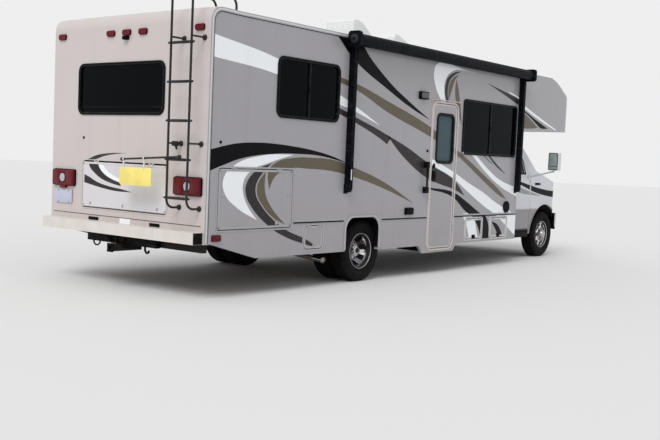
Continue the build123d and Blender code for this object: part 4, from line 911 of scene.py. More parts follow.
def layMouldings(side):
    matrix = onSide(side)
    rail, insert, dark = bmesh.new(), bmesh.new(), bmesh.new()
    for start, end in mouldings["runs"][side]:
        strip([(start, mouldings["low"]), (end, mouldings["low"])], mouldings["lowWidth"], mouldings["lowProud"],
            matrix, rail)
        strip([(start + 0.004, mouldings["low"] - 0.012), (end - 0.004, mouldings["low"] - 0.012)],
            mouldings["insertWidth"], mouldings["insertProud"], matrix, dark)
    middle = mouldings["cornerMiddle"]
    cx, cz = mouldings["cornerCentre"]
    for radius, width, height, whole in ((mouldings["cornerRadius"], 0.042, 0.005, rail),
            (mouldings["cornerRadius"], 0.016, 0.008, insert), (mouldings["cornerRadius"] - 0.0225, 0.007, 0.0065,
            dark)):
        x = cx - radius
        arc = [(cx - radius * math.cos(math.radians(a)), cz + radius * math.sin(math.radians(a))) for a in range(0,
            91, 10)]
        lift = mouldings["roofRail"] - cz - mouldings["cornerRadius"]
        path = [(x, 0.58)] + arc + [(0.42, cz + radius + lift), (6.515, cz + radius + lift)]
        strip(path, width, height, matrix, whole)
    # the upright joint to the bunk cap
    strip([(6.521, 2.04), (6.521, 2.86)], 0.022, 0.005, matrix, rail)
    finish("edgeRail_" + sideNames[side], rail, "trimGrey")
    finish("edgeInsert_" + sideNames[side], insert, "trimWhite")
    finish("edgeShadowStrip_" + sideNames[side], dark, "trimBlack")


for wallSide in (right, left):
    layMouldings(wallSide)


def lineArch(side):
    # a pale lip over the flare and a dark liner edge inside it
    matrix = onSide(side)
    lip = plate((2.253, 2.967), (-0.2, 0.812), 0.167, 0.008, 0.015, edge=0.002, rim=0.022)
    cutBy(lip, (0, 0.412, 0), (0, -1, 0), dist=0, clear_outer=True)
    bmesh.ops.holes_fill(lip, edges=[e for e in lip.edges if e.is_boundary])
    whole = bmesh.new()
    layAt(matrix, whole, lip)
    finish("archLip_" + sideNames[side], whole, "archGrey")
    lining = plate((2.2804, 2.9296), (-0.2, 0.7896), 0.15, -0.042, 0.0112, rim=0.004)
    cutBy(lining, (0, 0.414, 0), (0, -1, 0), dist=0, clear_outer=True)
    bmesh.ops.holes_fill(lining, edges=[e for e in lining.edges if e.is_boundary])
    whole = bmesh.new()
    layAt(matrix, whole, lining)
    finish("archLining_" + sideNames[side], whole, "trimBlack")


for wallSide in (right, left):
    lineArch(wallSide)
print("side trims made")

# Inner sashes, catch and bead of each side window
sashSet = {"bar": 0.032, "rim": 0.016, "depth": (-0.024, -0.015), "half": 0.014, "beadOut": 0.0145}


def fitWindows(side):
    matrix = onSide(side)
    sashes, beads = bmesh.new(), bmesh.new()
    for x0, x1, z0, z1, radius in sideWindows[side]:
        inset, middle = sashSet["bar"], (x0 + x1) / 2
        low, high = sashSet["depth"]
        for a, b in ((x0 + inset, middle - sashSet["half"]), (middle + sashSet["half"], x1 - inset)):
            layAt(matrix, sashes, plate((a, b), (z0 + inset, z1 - inset), 0.03, low, high, rim=sashSet["rim"]))
        layAt(matrix, beads, plate((x0 + 0.006, x1 - 0.006), (z0 + 0.006, z1 - 0.006), radius - 0.006, 0.01,
            sashSet["beadOut"], edge=0.001, rim=0.008), slab((middle - 0.012, (z0 + z1) / 2 - 0.035, -0.004),
            (middle + 0.012, (z0 + z1) / 2 + 0.035, 0.012), 0.003))
        for x in (x0 + 0.18, x1 - 0.18):
            layAt(matrix, beads, slab((x - 0.02, z0 + 0.012, 0.011), (x + 0.02, z0 + 0.02, 0.0145), 0.001))
    finish("windowSashes_" + sideNames[side], sashes, "frameBlack")
    finish("windowBeads_" + sideNames[side], beads, "trimBlack")


for wallSide in (right, left):
    fitWindows(wallSide)

fittings = {"marker": (0.1, 0.22, 0.6, 0.66), "button": (3.96, 1.63), "cap": (0.18, 1.59),
    "light": (3.7, 3.88, 2.29, 2.385), "outlet": (3.5, 3.665, 0.81, 0.885), "vent": (6.19, 0.87),
    "ring": (4.845, 1.63)}


def fitWalls():
    matrix = onSide(right)
    dark, pale = bmesh.new(), bmesh.new()
    x0, x1, z0, z1 = fittings["light"]
    layAt(matrix, pale, plate((x0 + 0.014, x1 - 0.014), (z0 + 0.012, z1 - 0.012), 0.016, 0.03, 0.048, edge=0.005))
    layAt(matrix, dark, plate((x0 - 0.004, x1 + 0.004), (z0 - 0.004, z1 + 0.004), 0.02, -0.001, 0.012, edge=0.003))
    x0, x1, z0, z1 = fittings["outlet"]
    layAt(matrix, dark, plate((x0 - 0.008, x1 + 0.008), (z0 - 0.008, z1 + 0.008), 0.014, -0.001, 0.014, edge=0.003),
        plate((x0 + 0.01, x1 - 0.01), (z0 + 0.008, z1 - 0.014), 0.01, 0.028, 0.034, edge=0.002),
        bar((x0 + 0.02, z1 - 0.008, 0.032), (x1 - 0.02, z1 - 0.008, 0.032), 0.0045))
    x, z = fittings["button"]
    layAt(matrix, dark, bar((x, z, -0.001), (x, z, 0.012), 0.019, 0.016, edge=0.002))
    x, z = fittings["cap"]
    layAt(matrix, dark, bar((x, z, -0.001), (x, z, 0.01), 0.016, 0.013, edge=0.002))
    x, z = fittings["vent"]
    ring = spun(((0.014, 0.088), (0.02, 0.086), (0.021, 0.076), (0.016, 0.072), (0.014, 0.07)), 40)
    layAt(matrix @ Matrix.Translation((x, z, 0)), dark, ring)
    for step in range(-3, 4):
        reach = math.sqrt(0.07 ** 2 - (step * 0.02) ** 2)
        layAt(matrix, dark, slab((x - reach, z + step * 0.02 - 0.005, 0.014),
            (x + reach, z + step * 0.02 + 0.004, 0.0195), 0.001))
    finish("wallFittingsDark", dark, "trimBlack")
    finish("porchLens", pale, "lensSmoke")
    x, z = fittings["ring"]
    pale = bmesh.new()
    layAt(matrix @ Matrix.Translation((x, z, 0)), pale, spun(((0.013, 0.016), (0.018, 0.014), (0.018, 0.009),
        (0.013, 0.008)), 24))
    finish("windowRing", pale, "trimWhite")
    for side in (right, left):
        x0, x1, z0, z1 = fittings["marker"]
        base, lens = bmesh.new(), bmesh.new()
        layAt(onSide(side), base, plate((x0 - 0.004, x1 + 0.004), (z0 - 0.004, z1 + 0.004), 0.014, -0.001, 0.006,
            edge=0.002))
        layAt(onSide(side), lens, plate((x0, x1), (z0, z1), 0.012, 0.004, 0.019, edge=0.005))
        finish("sideMarkerBase_" + sideNames[side], base, "trimBlack")
        finish("sideMarker_" + sideNames[side], lens, "lensRed")


fitWalls()
print("windows and wall fittings made")

# The rear: trims, lamps, plate and the painted arcs; rows are (across to the right, up)
rearSet = {
    "cargo": (-0.695, 0.695, 0.83, 1.335), "window": (-0.8, 0.62, 1.84, 2.4), "lamp": (0.82, 1.205, 1.05, 1.225),
    "oval": (0.047, 0.049), "ovalAt": (1.02, 1.137), "plate": (-1.175, -0.87, 0.85, 1.002),
    "plateLamp": (-1.02, 1.03), "groove": 0.757, "camera": (0.0, 2.648), "slots": ((-0.57, -0.4), (0.44, 0.6)),
    "label": (-0.04, 0.13, 0.69, 0.748),
    "markers": (-1.11, -0.26, 0.0, 0.26, 1.11), "markerZ": 2.705, "dot": (-0.69, 1.59),
}
rearBands = {
    "vinylGrey": (
        (((-0.62, 1.352), (-0.45, 1.405), (-0.22, 1.432), (0.05, 1.44)),
         ((-0.62, 1.352), (-0.48, 1.358), (-0.35, 1.392), (-0.15, 1.424), (0.05, 1.44))),
        (((-0.44, 1.33), (-0.41, 1.275), (-0.33, 1.21), (-0.2, 1.155), (-0.04, 1.118)),
         ((-0.6, 1.33), (-0.575, 1.275), (-0.49, 1.21), (-0.365, 1.15), (-0.2, 1.11), (-0.04, 1.085))),
        (((-0.68, 1.19), (-0.59, 1.165), (-0.45, 1.115), (-0.24, 1.075), (-0.04, 1.055), (0.14, 1.03)),
         ((-0.68, 1.1), (-0.55, 1.08), (-0.345, 1.05), (-0.14, 1.03), (0.14, 1.028))),
    ),
    "vinylWhite": (
        (((-0.36, 1.32), (-0.3, 1.26), (-0.18, 1.2), (-0.06, 1.16)),
         ((-0.43, 1.32), (-0.39, 1.255), (-0.29, 1.19), (-0.14, 1.145), (-0.06, 1.13))),
    ),
}


def rearLeafBands():
    rect = rearSet["cargo"]
    for look, shapes in rearBands.items():
        whole = bmesh.new()
        for upper, lower in shapes:
            lay(whole, bandShape(upper, lower))
        leafRect = grown(rect, -leafGap)
        cutAlong(whole, rect)
        cutAlong(whole, leafRect)
        for owner, test in (("rear_cargo_door", lambda p: inside(p, leafRect)),
                ("coach", lambda p: not inside(p, rect))):
            part = whole.copy()
            bmesh.ops.delete(part, geom=[f for f in part.faces if not test(f.calc_center_median())], context="FACES")
            if part.faces:
                thicken(part, sunk + filmHeights[look])
                bmesh.ops.transform(part, matrix=onRear(-sunk), verts=part.verts)
                finish(look + "_" + owner + "_rear", part, look, owner, sharp=20)
            else:
                part.free()
        whole.free()


def dressRear():
    matrix = onRear()
    rect = rearSet["cargo"]
    ring, frameRing, catches = bmesh.new(), bmesh.new(), bmesh.new()
    layAt(matrix, ring, leafRing(rect, 0.03, 0.022, 0.003))
    layAt(matrix, frameRing, wallRing(rect, 0.03))
    for s in (-0.55, 0.0, 0.55):
        layAt(matrix, catches, bar((s, 0.875, -0.001), (s, 0.875, 0.006), 0.015, edge=0.002),
            slab((s - 0.007, 0.8735, 0.005), (s + 0.007, 0.8765, 0.0068), 0.0005))
    finish("cargoLeafTrim", ring, "cargoPale", "rear_cargo_door")
    finish("cargoFrameTrim", frameRing, "creamCap")
    finish("cargoLocks", catches, "trimGrey", "rear_cargo_door")

    dark, pale, red, white, groove, moulding = (bmesh.new() for _ in range(6))
    x0, x1, z0, z1 = rearSet["window"]
    layAt(matrix, dark, plate((x0 + 0.006, x1 - 0.006), (z0 + 0.006, z1 - 0.006), 0.084, 0.01, 0.0145, edge=0.001,
        rim=0.009), slab((x0 + 0.032, z0 + 0.075, -0.01), (x1 - 0.032, z0 + 0.095, -0.002), 0.003))
    for side in (right, left):
        a, b, c, d = rearSet["lamp"]
        span = spanOf(-side, a, b)
        layAt(matrix, dark, plate((span[0] - 0.008, span[1] + 0.008), (c - 0.008, d + 0.008), 0.026, -0.001, 0.014,
            edge=0.004))
        middle, up = rearSet["ovalAt"]
        oval = spun(((0.034, 1.0), (0.0395, 0.93), (0.041, 0.0)), 40)
        rim = spun(((0.034, 1.18), (0.038, 1.14), (0.038, 1.02), (0.034, 1.0)), 40)
        for near, far in ((span[0] + 0.008, span[0] + 0.137), (span[1] - 0.137, span[1] - 0.008)):
            layAt(matrix, red, plate((near, far), (c + 0.01, d - 0.01), 0.02, 0.034, 0.0395, edge=0.004))
        wide, high = rearSet["oval"]
        for part in (oval, rim):
            bmesh.ops.scale(part, vec=(wide, high, 1), verts=part.verts)
        layAt(matrix @ Matrix.Translation((-side * middle, up, 0)), dark, rim)
        layAt(matrix @ Matrix.Translation((-side * middle, up, 0)), white, oval)
    for s in rearSet["markers"]:
        z = rearSet["markerZ"]
        layAt(matrix, dark, plate((s - 0.066, s + 0.066), (z - 0.034, z + 0.034), 0.027, -0.001, 0.007, edge=0.002))
    s, z = rearSet["camera"]
    layAt(matrix, dark, plate((s - 0.036, s + 0.036), (z - 0.02, z + 0.02), 0.012, -0.001, 0.045, edge=0.006),
        bar((s, z - 0.004, 0.044), (s, z - 0.004, 0.05), 0.012, edge=0.002))
    a, b, c, d = rearSet["plate"]
    layAt(matrix, pale, plate((a, b), (c, d), 0.012, 0.01, 0.0125, edge=0.0008))
    layAt(matrix, dark, plate((a + 0.02, b - 0.02), (c + 0.03, d - 0.03), 0.01, -0.001, 0.0105))
    for spot in ((a + 0.06, c + 0.012), (b - 0.06, c + 0.012), (a + 0.06, d - 0.012), (b - 0.06, d - 0.012)):
        layAt(matrix, dark, bar((*spot, 0.011), (*spot, 0.0155), 0.006, segments=6))
    s, z = rearSet["plateLamp"]
    layAt(matrix, red, plate((s - 0.05, s + 0.05), (z - 0.012, z + 0.018), 0.008, -0.001, 0.035, edge=0.004))
    for a, b in rearSet["slots"]:
        layAt(matrix, dark, plate((a, b), (0.694, 0.728), 0.008, -0.001, 0.006, edge=0.002))
    a, b, c, d = rearSet["label"]
    layAt(matrix, groove, plate((a, b), (c, d), 0.004, -0.0005, 0.0012))
    s, z = rearSet["dot"]
    layAt(matrix, dark, bar((s, z, -0.001), (s, z, 0.009), 0.014, edge=0.002))
    strip([(-1.21, rearSet["groove"]), (1.21, rearSet["groove"])], 0.026, 0.005, matrix, moulding)
    strip([(-1.205, rearSet["groove"] - 0.008), (1.205, rearSet["groove"] - 0.008)], 0.006, 0.0065, matrix, dark)
    strip([(-0.66, 1.3395), (0.69, 1.3395)], 0.011, 0.0068, matrix, dark)
    strip([(-0.68, 0.8265), (0.68, 0.8265)], 0.005, 0.006, matrix, dark)
    # end plugs of the hollow bumper
    for side in (right, left):
        low, high = spanOf(side, 1.229, 1.238)
        layAt(matrix, dark, slab((low, 0.574, 0.004), (high, 0.688, 0.128), 0.002))
    finish("rearDarkFittings", dark, "trimBlack")
    finish("rearBlankPlate", pale, "plateBlank")
    finish("rearRedLenses", red, "lensRed")
    finish("lampOvals", white, "lensClear")
    finish("blankLabel", groove, "vinylWhite")
    finish("rearMoulding", moulding, "creamCap")


rearLeafBands()
dressRear()
print("rear dressed")

boardSet = {"x": (0.18, 0.67), "z": (1.115, 1.3), "straps": (0.238, 0.556), "back": 0.193, "barZ": (1.378, 1.428),
    "barEnds": (0.213, 1.075)}


def makeBoard():
    # a blank yellow sheet on two white straps looped over the bar
    matrix = onRear(boardSet["back"])
    sheet = plate(boardSet["x"], boardSet["z"], 0.02, -0.0022, 0.0022, edge=0.001)
    bmesh.ops.subdivide_edges(sheet, edges=[e for e in sheet.edges if e.calc_length() > 0.1], cuts=5,
        use_grid_fill=True)
    whole = bmesh.new()
    layAt(matrix, whole, sheet)
    rims = bmesh.new()
    for s in boardSet["straps"]:
        layAt(matrix, rims, bar((s, 1.283, -0.003), (s, 1.283, 0.003), 0.009, edge=0.001))
    finish("boardSheet", whole, "boardYellow", "hanging_board", replaced=("hanging_board",))
    finish("boardEyelets", rims, "trimGrey", "hanging_board")
    straps = bmesh.new()
    for s in boardSet["straps"]:
        share = (s - boardSet["barEnds"][0]) / (boardSet["barEnds"][1] - boardSet["barEnds"][0])
        top = boardSet["barZ"][0] + share * (boardSet["barZ"][1] - boardSet["barZ"][0])
        loop = spun(((-0.01, 0.0122), (0.01, 0.0122), (0.01, 0.0148), (-0.01, 0.0148), (-0.01, 0.0122)), 28)
        turn = Matrix.Rotation(math.radians(90), 4, "Y")
        layAt(matrix @ Matrix.Translation((s, top, 0)) @ turn, straps, loop)
        for w in (-0.0028, 0.0028):
            layAt(matrix, straps, slab((s - 0.01, 1.272, w - 0.0012), (s + 0.01, top - 0.0115, w + 0.0012), 0.0006))
    finish("boardStraps", straps, "strapWhite", "hanging_board")


makeBoard()

# Wheels and tyres

hubHeight = 0.372
frontAxle, rearAxle = 8.024, 2.712
frontTyreY, rearOuterY, rearInnerY = 0.88, 1.078, 0.8
# Tyre section from the outer bead to the middle of the tread: out, radius
tyreRows = ((0.08, 0.2032), (0.0802, 0.2195), (0.088, 0.2222), (0.0955, 0.228), (0.1015, 0.237), (0.1045, 0.244),
            (0.106, 0.247), (0.1064, 0.253), (0.1052, 0.2555), (0.1098, 0.272), (0.112, 0.288),
             (0.1122, 0.299),
            (0.1112, 0.301), (0.111, 0.306), (0.1113, 0.308), (0.1072, 0.327), (0.102, 0.342),
             (0.098, 0.35),
            (0.0955, 0.352), (0.09, 0.36), (0.084, 0.364), (0.056, 0.3648), (0.048, 0.365),
             (0.02, 0.3652),
            (0.013, 0.3652))
tyreSteps = 96
treadRibs = ((0.056, 0.084), (0.02, 0.048), (-0.013, 0.013), (-0.048, -0.02), (-0.084, -0.056))
blockGap, blockRise = 0.0021, 0.0067


def wheelMatrix(station, middle, side):
    return Matrix(((1, 0, 0, station - rearToMiddle), (0, 0, side, side * middle), (0, 1, 0, hubHeight),
        (0, 0, 0, 1)))


def tyrePart():
    # sidewall with its rings, and ribs cut into blocks
    mirrored = [(-out, radius) for out, radius in reversed(tyreRows)]
    part = spun(list(tyreRows) + mirrored + [tyreRows[0]], tyreSteps)
    blocks = []
    for face in part.faces:
        spot = face.calc_center_median()
        if math.hypot(spot.x, spot.y) > 0.362 and any(low < spot.z < high for low, high in treadRibs):
            blocks.append(face)
    bmesh.ops.inset_individual(part, faces=blocks, thickness=blockGap, depth=blockRise, use_even_offset=True)
    lugs = [f for f in part.faces if 0.352 < math.hypot(*f.calc_center_median().xy) < 0.3605
            and abs(f.calc_center_median().z) > 0.09]
    bmesh.ops.inset_individual(part, faces=lugs, thickness=blockGap, depth=0.0015, use_even_offset=True)
    return part


def makeTyres(name, body, station, middles, side):
    whole = bmesh.new()
    for middle in middles:
        layAt(wheelMatrix(station, middle, side), whole, tyrePart())
    finish(name + "Rubber", whole, "tyreRubber", body, replaced=(name,), sharp=32)


for wheelSide in (right, left):
    word = sideNames[wheelSide]
    makeTyres("front_tyre_" + word, "front_wheel_" + word, frontAxle, (frontTyreY,), wheelSide)
    makeTyres("rear_tyres_" + word, "rear_wheels_" + word, rearAxle, (rearOuterY, rearInnerY), wheelSide)

# Polished covers over the wheels: out and radius from the rim's edge inwards
coverSets = {
    "front": {
        "rows": ((0.086, 0.2187), (0.0915, 0.2187), (0.0938, 0.215), (0.091, 0.21), (0.085, 0.2065),
                 (0.066, 0.196), (0.056, 0.185), (0.06, 0.16), (0.068, 0.135), (0.076, 0.125),
                 (0.08, 0.118), (0.0805, 0.086), (0.083, 0.08), (0.118, 0.076), (0.124, 0.07),
                 (0.126, 0.064)),
        "hub": ((0.1235, 0.064), (0.133, 0.06), (0.137, 0.05), (0.139, 0.03), (0.1395, 0.0)),
        "nutFoot": 0.079, "nutTop": 0.112, "nutRing": 0.102, "holes": (0.135, 0.185), "paintedShadeBelow": 0.085},
    "rear": {
        "rows": ((0.086, 0.2187), (0.0915, 0.2187), (0.0938, 0.215), (0.09, 0.209), (0.078, 0.204),
                 (0.048, 0.196), (0.018, 0.185), (-0.02, 0.16), (-0.056, 0.135), (-0.07, 0.127),
                 (-0.076, 0.12), (-0.077, 0.088), (-0.074, 0.0815), (0.015, 0.073), (0.025, 0.07),
                 (0.028, 0.064)),
        "hub": ((0.0255, 0.064), (0.034, 0.06), (0.038, 0.05), (0.04, 0.03), (0.0405, 0.0)),
        "nutFoot": -0.078, "nutTop": -0.046, "nutRing": 0.104, "holes": (0.135, 0.185), "paintedShadeBelow": 0.08},
}
coverSteps, holeCount, holeSteps = 80, 8, 5
nutRadius = 0.0125


def coverShell(rows, holes):
    part = spun(rows, coverSteps)
    gone = []
    for face in part.faces:
        spot = face.calc_center_median()
        step = round((math.atan2(spot.y, spot.x) / math.tau * coverSteps - 0.5) % coverSteps)
        if holes[0] < math.hypot(spot.x, spot.y) < holes[1] and step % (coverSteps // holeCount) < holeSteps:
            gone.append(face)
    bmesh.ops.delete(part, geom=gone, context="FACES")
    return part


def coverTrim(setting):
    # hub cap and lug nuts with their washers
    trim = spun(setting["hub"], 48)
    for step in range(holeCount):
        angle = math.tau * (step + 0.1) / holeCount
        spot = setting["nutRing"] * math.cos(angle), setting["nutRing"] * math.sin(angle)
        lay(trim, bar((*spot, setting["nutFoot"]), (*spot, setting["nutFoot"] + 0.005), nutRadius + 0.004,
            segments=24, edge=0.001), bar((*spot, setting["nutFoot"]), (*spot, setting["nutTop"]), nutRadius,
            segments=6, edge=0.0015), bar((*spot, setting["nutTop"] - 0.001), (*spot, setting["nutTop"] + 0.004),
            nutRadius * 0.8, nutRadius * 0.45, segments=18, edge=0.0008))
    return trim


def makeCover(kind, station, middle, side):
    setting = coverSets[kind]
    body = ("front_wheel_" if kind == "front" else "rear_wheels_") + sideNames[side]
    matrix = wheelMatrix(station, middle, side)
    shell = bmesh.new()
    layAt(matrix, shell, coverShell(setting["rows"], setting["holes"]))
    # faces deep in the dish take the second chrome, whose dark tone, glints and bright lower band are painted shade
    # and painted reflections
    for face in shell.faces:
        spot = matrix.inverted() @ face.calc_center_median()
        face.material_index = 1 if spot.z < setting["paintedShadeBelow"] and math.hypot(spot.x, spot.y) < 0.2 else 0
    finish(kind + "Cover_" + sideNames[side], shell, ("wheelChrome", "chromePaintedShadeAndGlints"), body, subdivide=1,
        solid=0.0025, sharp=60)
    trim = bmesh.new()
    layAt(matrix, trim, coverTrim(setting))
    valve = [(0.1545, 0.02, 0.035), (0.166, 0.022, 0.06), (0.172, 0.024, 0.083)]
    if kind == "front":
        layAt(matrix, trim, curvePart(valve, radius=0.004))
    finish(kind + "CoverTrim_" + sideNames[side], trim, "wheelChrome", body, sharp=35)


for wheelSide in (right, left):
    makeCover("front", frontAxle, frontTyreY, wheelSide)
    makeCover("rear", rearAxle, rearOuterY, wheelSide)
print("wheels and tyres made")

# Cab

def treeOf(names):
    whole = bmesh.new()
    for name in names:
        whole.from_mesh(nodes[name].data)
    tree = BVHTree.FromBMesh(whole)
    whole.free()
    return tree


cabTree = treeOf(("cab_shell", "cab_door_right", "cab_door_left", "hood"))
noseTree = treeOf(("cab_shell", "hood", "headlamps", "grille"))
bumperTree = treeOf(("front_bumper",))
screenTree = treeOf(("coach_glass",))
capTree = treeOf(("cabover_cap",))
fromFront = "front"
# Where the rays of hitFrom start, each outside the vehicle, and a pitch too wide to cut a form
besideBody, beforeNose, overRoof, rayLength = 1.6, 6.0, 4.0, 4.0
uncut = 0.9


def hitFrom(view, tree, u, v):
    # where the form is met from a side (u along, v up), the front (u across, v up) or above (u along, v across)
    if view in (right, left):
        start, way = Vector((u - rearToMiddle, view * besideBody, v)), Vector((0, -view, 0))
    elif view == fromFront:
        start, way = Vector((beforeNose, u, v)), Vector((-1, 0, 0))
    else:
        start, way = Vector((u - rearToMiddle, v, overRoof)), Vector((0, 0, -1))
    spot, normal, _, _ = tree.ray_cast(start, way, rayLength)
    if spot is None:
        return None, None
    return spot, normal if normal.dot(way) < 0 else -normal


def grid(part, pitch):
    # cut a flat shape into squares so that it can bend
    for axis in (0, 1):
        values = [v.co[axis] for v in part.verts]
        steps = int((max(values) - min(values)) / pitch)
        for step in range(1, steps + 1):
            spot, normal = Vector((0, 0, 0)), Vector((0, 0, 0))
            spot[axis] = min(values) + step * (max(values) - min(values)) / (steps + 1)
            normal[axis] = 1
            cutBy(part, spot, normal)


def drape(part, view, tree, height, pitch=0.05):
    # lay a flat shape on a form and give it that thickness
    grid(part, pitch)
    top = set(raiseFaces(part))
    lost = []
    for vert in part.verts:
        spot, normal = hitFrom(view, tree, vert.co.x, vert.co.y)
        if spot is None:
            lost.append(vert)
        else:
            vert.co = spot + normal * (height if vert in top else -sunk)
    bmesh.ops.delete(part, geom=lost, context="VERTS")
    return part


def flatPlate(u, v, radius=0.0, rim=0.0):
    # a flat rounded rectangle, or a ring of width rim
    part = plate(u, v, radius, 0.0, 0.001, rim=rim)
    bmesh.ops.delete(part, geom=[f for f in part.faces if f.calc_center_median().z > 0.0001 or abs(f.normal.z) < 0.5],
        context="FACES")
    return part


def flatRing(centre, low, high, start, end, steps):
    part = bmesh.new()
    pair = [part.verts.new((radius, 0, 0)) for radius in (low, high)]
    edge = part.edges.new(pair)
    bmesh.ops.spin(part, geom=pair + [edge], cent=(0, 0, 0), axis=(0, 0, 1), angle=math.radians(end - start),
        steps=steps)
    turn = Matrix.Translation((*centre, 0)) @ Matrix.Rotation(math.radians(start), 4, "Z")
    bmesh.ops.transform(part, matrix=turn, verts=part.verts)
    return part


def flatOutline(points, rim=0.0):
    part = bmesh.new()
    part.faces.new([part.verts.new((x, y, 0)) for x, y in points])
    bmesh.ops.recalc_face_normals(part, faces=part.faces)
    if rim:
        keepRim(part, rim)
    return part


# Stripes on the cab's sides: upper edge, then lower edge
cabStripes = {
    "vinylBlack": ((((6.54, 1.335), (6.8, 1.3), (7.12, 1.245), (7.5, 1.18), (8.0, 1.115), (8.2, 1.1), (8.45, 1.09),
                     (8.53, 1.075)),
                    ((6.54, 1.335), (6.9, 1.25), (7.3, 1.15), (7.6, 1.08), (8.0, 1.02), (8.2, 1.0), (8.45, 0.985),
                     (8.53, 0.98))),),
    "cabGreyFilm": ((((6.54, 1.26), (6.8, 1.215), (7.12, 1.15), (7.4, 1.095), (7.9, 1.01)),
                    ((6.54, 1.17), (6.8, 1.13), (7.15, 1.06), (7.5, 1.03), (7.9, 1.01))),),
}
cabDoorCut = (6.576, 7.472)
cabShellCut = (6.561, 7.479)
# Flat shapes on a cab side as along and up spans, then where parts stand along it
cabSet = {
    "rocker": ((6.535, 7.535), (0.402, 0.474)), "moulding": ((6.6, 7.535), (0.79, 0.822)),
    "glass": ((6.626, 1.356), (7.347, 1.356), (7.314, 1.61), (7.046, 1.936), (6.646, 1.936)),
    "handle": ((6.64, 6.83), (1.17, 1.236)), "handleFeet": (6.662, 6.806), "lock": (6.735, 1.14),
    "marker": ((7.64, 7.83), (1.19, 1.226)), "step": (6.6, 7.44), "ribs": (6.66, 7.38), "stays": (6.72, 7.02, 7.32),
}
# The front wheel's arch, with radii from the hub, and the mirror's head, with spans out from the middle plane
frontArch = {"lip": (0.5005, 0.526), "lipTurn": (46.5, 176), "reach": 0.4945, "hem": 0.2, "inner": 0.545,
             "outer": 0.985, "start": -8, "sweep": 164}
mirrorSet = {"face": 7.43, "rim": (1.3155, 1.4745), "bar": (1.325, 1.465), "glass": (1.324, 1.466)}


def cutAt(part, stations):
    for station in stations:
        cutBy(part, (station, 0, 0), (1, 0, 0))


def splitOverDoor(flat, side, look, height, name, pitch=0.06):
    # one piece on the door leaf and one on the shell
    cutAt(flat, cabDoorCut + cabShellCut)
    for owner in ("door", "shell"):
        part = flat.copy()
        gone = []
        for face in part.faces:
            spot = face.calc_center_median().x
            onDoor = cabDoorCut[0] < spot < cabDoorCut[1]
            onShell = spot < cabShellCut[0] or spot > cabShellCut[1]
            if not (onDoor if owner == "door" else onShell):
                gone.append(face)
        bmesh.ops.delete(part, geom=gone, context="FACES")
        if not part.faces:
            part.free()
            continue
        body = "cab_door_" + sideNames[side] if owner == "door" else "coach"
        drape(part, side, cabTree, height, pitch)
        finish("%s_%s_%s" % (name, owner, sideNames[side]), part, look, body, sharp=25)
    flat.free()


def joined(parts):
    whole = bmesh.new()
    for part in parts:
        lay(whole, part)
    return whole


def trimCabSide(side):
    for look, shapes in cabStripes.items():
        flat = joined([bandShape(upper, lower) for upper, lower in shapes])
        splitOverDoor(flat, side, look, 0.0008 if look == "cabGreyFilm" else 0.0012, look + "Stripe",
            0.02)
    rocker = flatPlate(*cabSet["rocker"])
    splitOverDoor(rocker, side, "trimBlack", 0.0015, "rocker")
    moulding = flatPlate(*cabSet["moulding"], 0.006)
    splitOverDoor(moulding, side, "whiteCab", 0.009, "sideMoulding")
    body, word = "cab_door_" + sideNames[side], sideNames[side]

    ring = flatOutline(cabSet["glass"], rim=0.0235)
    finish("doorGlassRim_" + word, drape(ring, side, cabTree, 0.0025, 0.08), "trimBlack", body,
        sharp=25)
    handle = joined([drape(flatPlate(*cabSet["handle"], 0.02), side, cabTree, 0.004, 0.03)])
    y, lock = side * (cabHalf + 0.034), cabSet["lock"]
    for station in cabSet["handleFeet"]:
        lay(handle, bar(at(station, side * (cabHalf - 0.012), 1.204), at(station, y, 1.204), 0.01, edge=0.002))
    lay(handle, slab(at(6.648, y - 0.007, 1.188), at(6.82, y + 0.007, 1.22), 0.006, 3),
        bar(at(lock[0], side * (cabHalf - 0.01), lock[1]), at(lock[0], side * (cabHalf + 0.002), lock[1]), 0.011,
        edge=0.001))
    finish("cabDoorHandle_" + word, handle, "trimBlack", body)

    lip = flatRing((frontAxle, hubHeight), *frontArch["lip"], *frontArch["lipTurn"], 40)
    finish("cabArchLip_" + word, joined([drape(lip, side, cabTree, 0.006, uncut)]), "whiteCab", sharp=25)
    marker = drape(flatPlate(*cabSet["marker"], 0.012), side, cabTree, 0.006, 0.04)
    finish("fenderMarker_" + word, marker, "trimBlack")

    steps = bmesh.new()
    inner, outer = spanOf(side, 0.8, 1.018)
    (back, front), (ribBack, ribFront) = cabSet["step"], cabSet["ribs"]
    lay(steps, slab(at(back, inner, 0.352), at(front, outer, 0.396), 0.012, 3))
    for row in range(6):
        spot = side * (0.985 - row * 0.026)
        lay(steps, slab(at(ribBack, spot - 0.006, 0.3945), at(ribFront, spot + 0.006, 0.3995), 0.001, 1))
    for station in cabSet["stays"]:
        lay(steps, slab(at(station - 0.02, side * 0.62, 0.372), at(station + 0.02, side * 0.84, 0.398), 0.003, 1),
            slab(at(station - 0.02, side * 0.62, 0.372), at(station + 0.02, side * 0.65, 0.655), 0.003, 1))
    finish("stepBoard_" + word, steps, "trimBlack")
    trimMirror(side)
    lineFrontArch(side)


def lineFrontArch(side):
    # a dark shell over the tyre, open at the side and below
    centre = at(frontAxle, 0, hubHeight)
    reach, inner, outer = frontArch["reach"], frontArch["inner"], frontArch["outer"]
    shell = bmesh.new()
    pair = [shell.verts.new((reach, side * y, 0)) for y in (inner, outer)]
    pair.append(shell.verts.new((frontArch["hem"], side * inner, 0)))
    edges = [shell.edges.new((pair[1], pair[0])), shell.edges.new((pair[0], pair[2]))]
    turn = Matrix.Rotation(math.radians(frontArch["start"]), 4, "Y")
    bmesh.ops.transform(shell, matrix=turn, verts=shell.verts)
    bmesh.ops.spin(shell, geom=pair + edges, cent=(0, 0, 0), axis=(0, -1, 0),
        angle=math.radians(frontArch["sweep"]), steps=40)
    bmesh.ops.transform(shell, matrix=Matrix.Translation(centre), verts=shell.verts)
    finish("archShell_" + sideNames[side], shell, "trimBlack", solid=0.003)


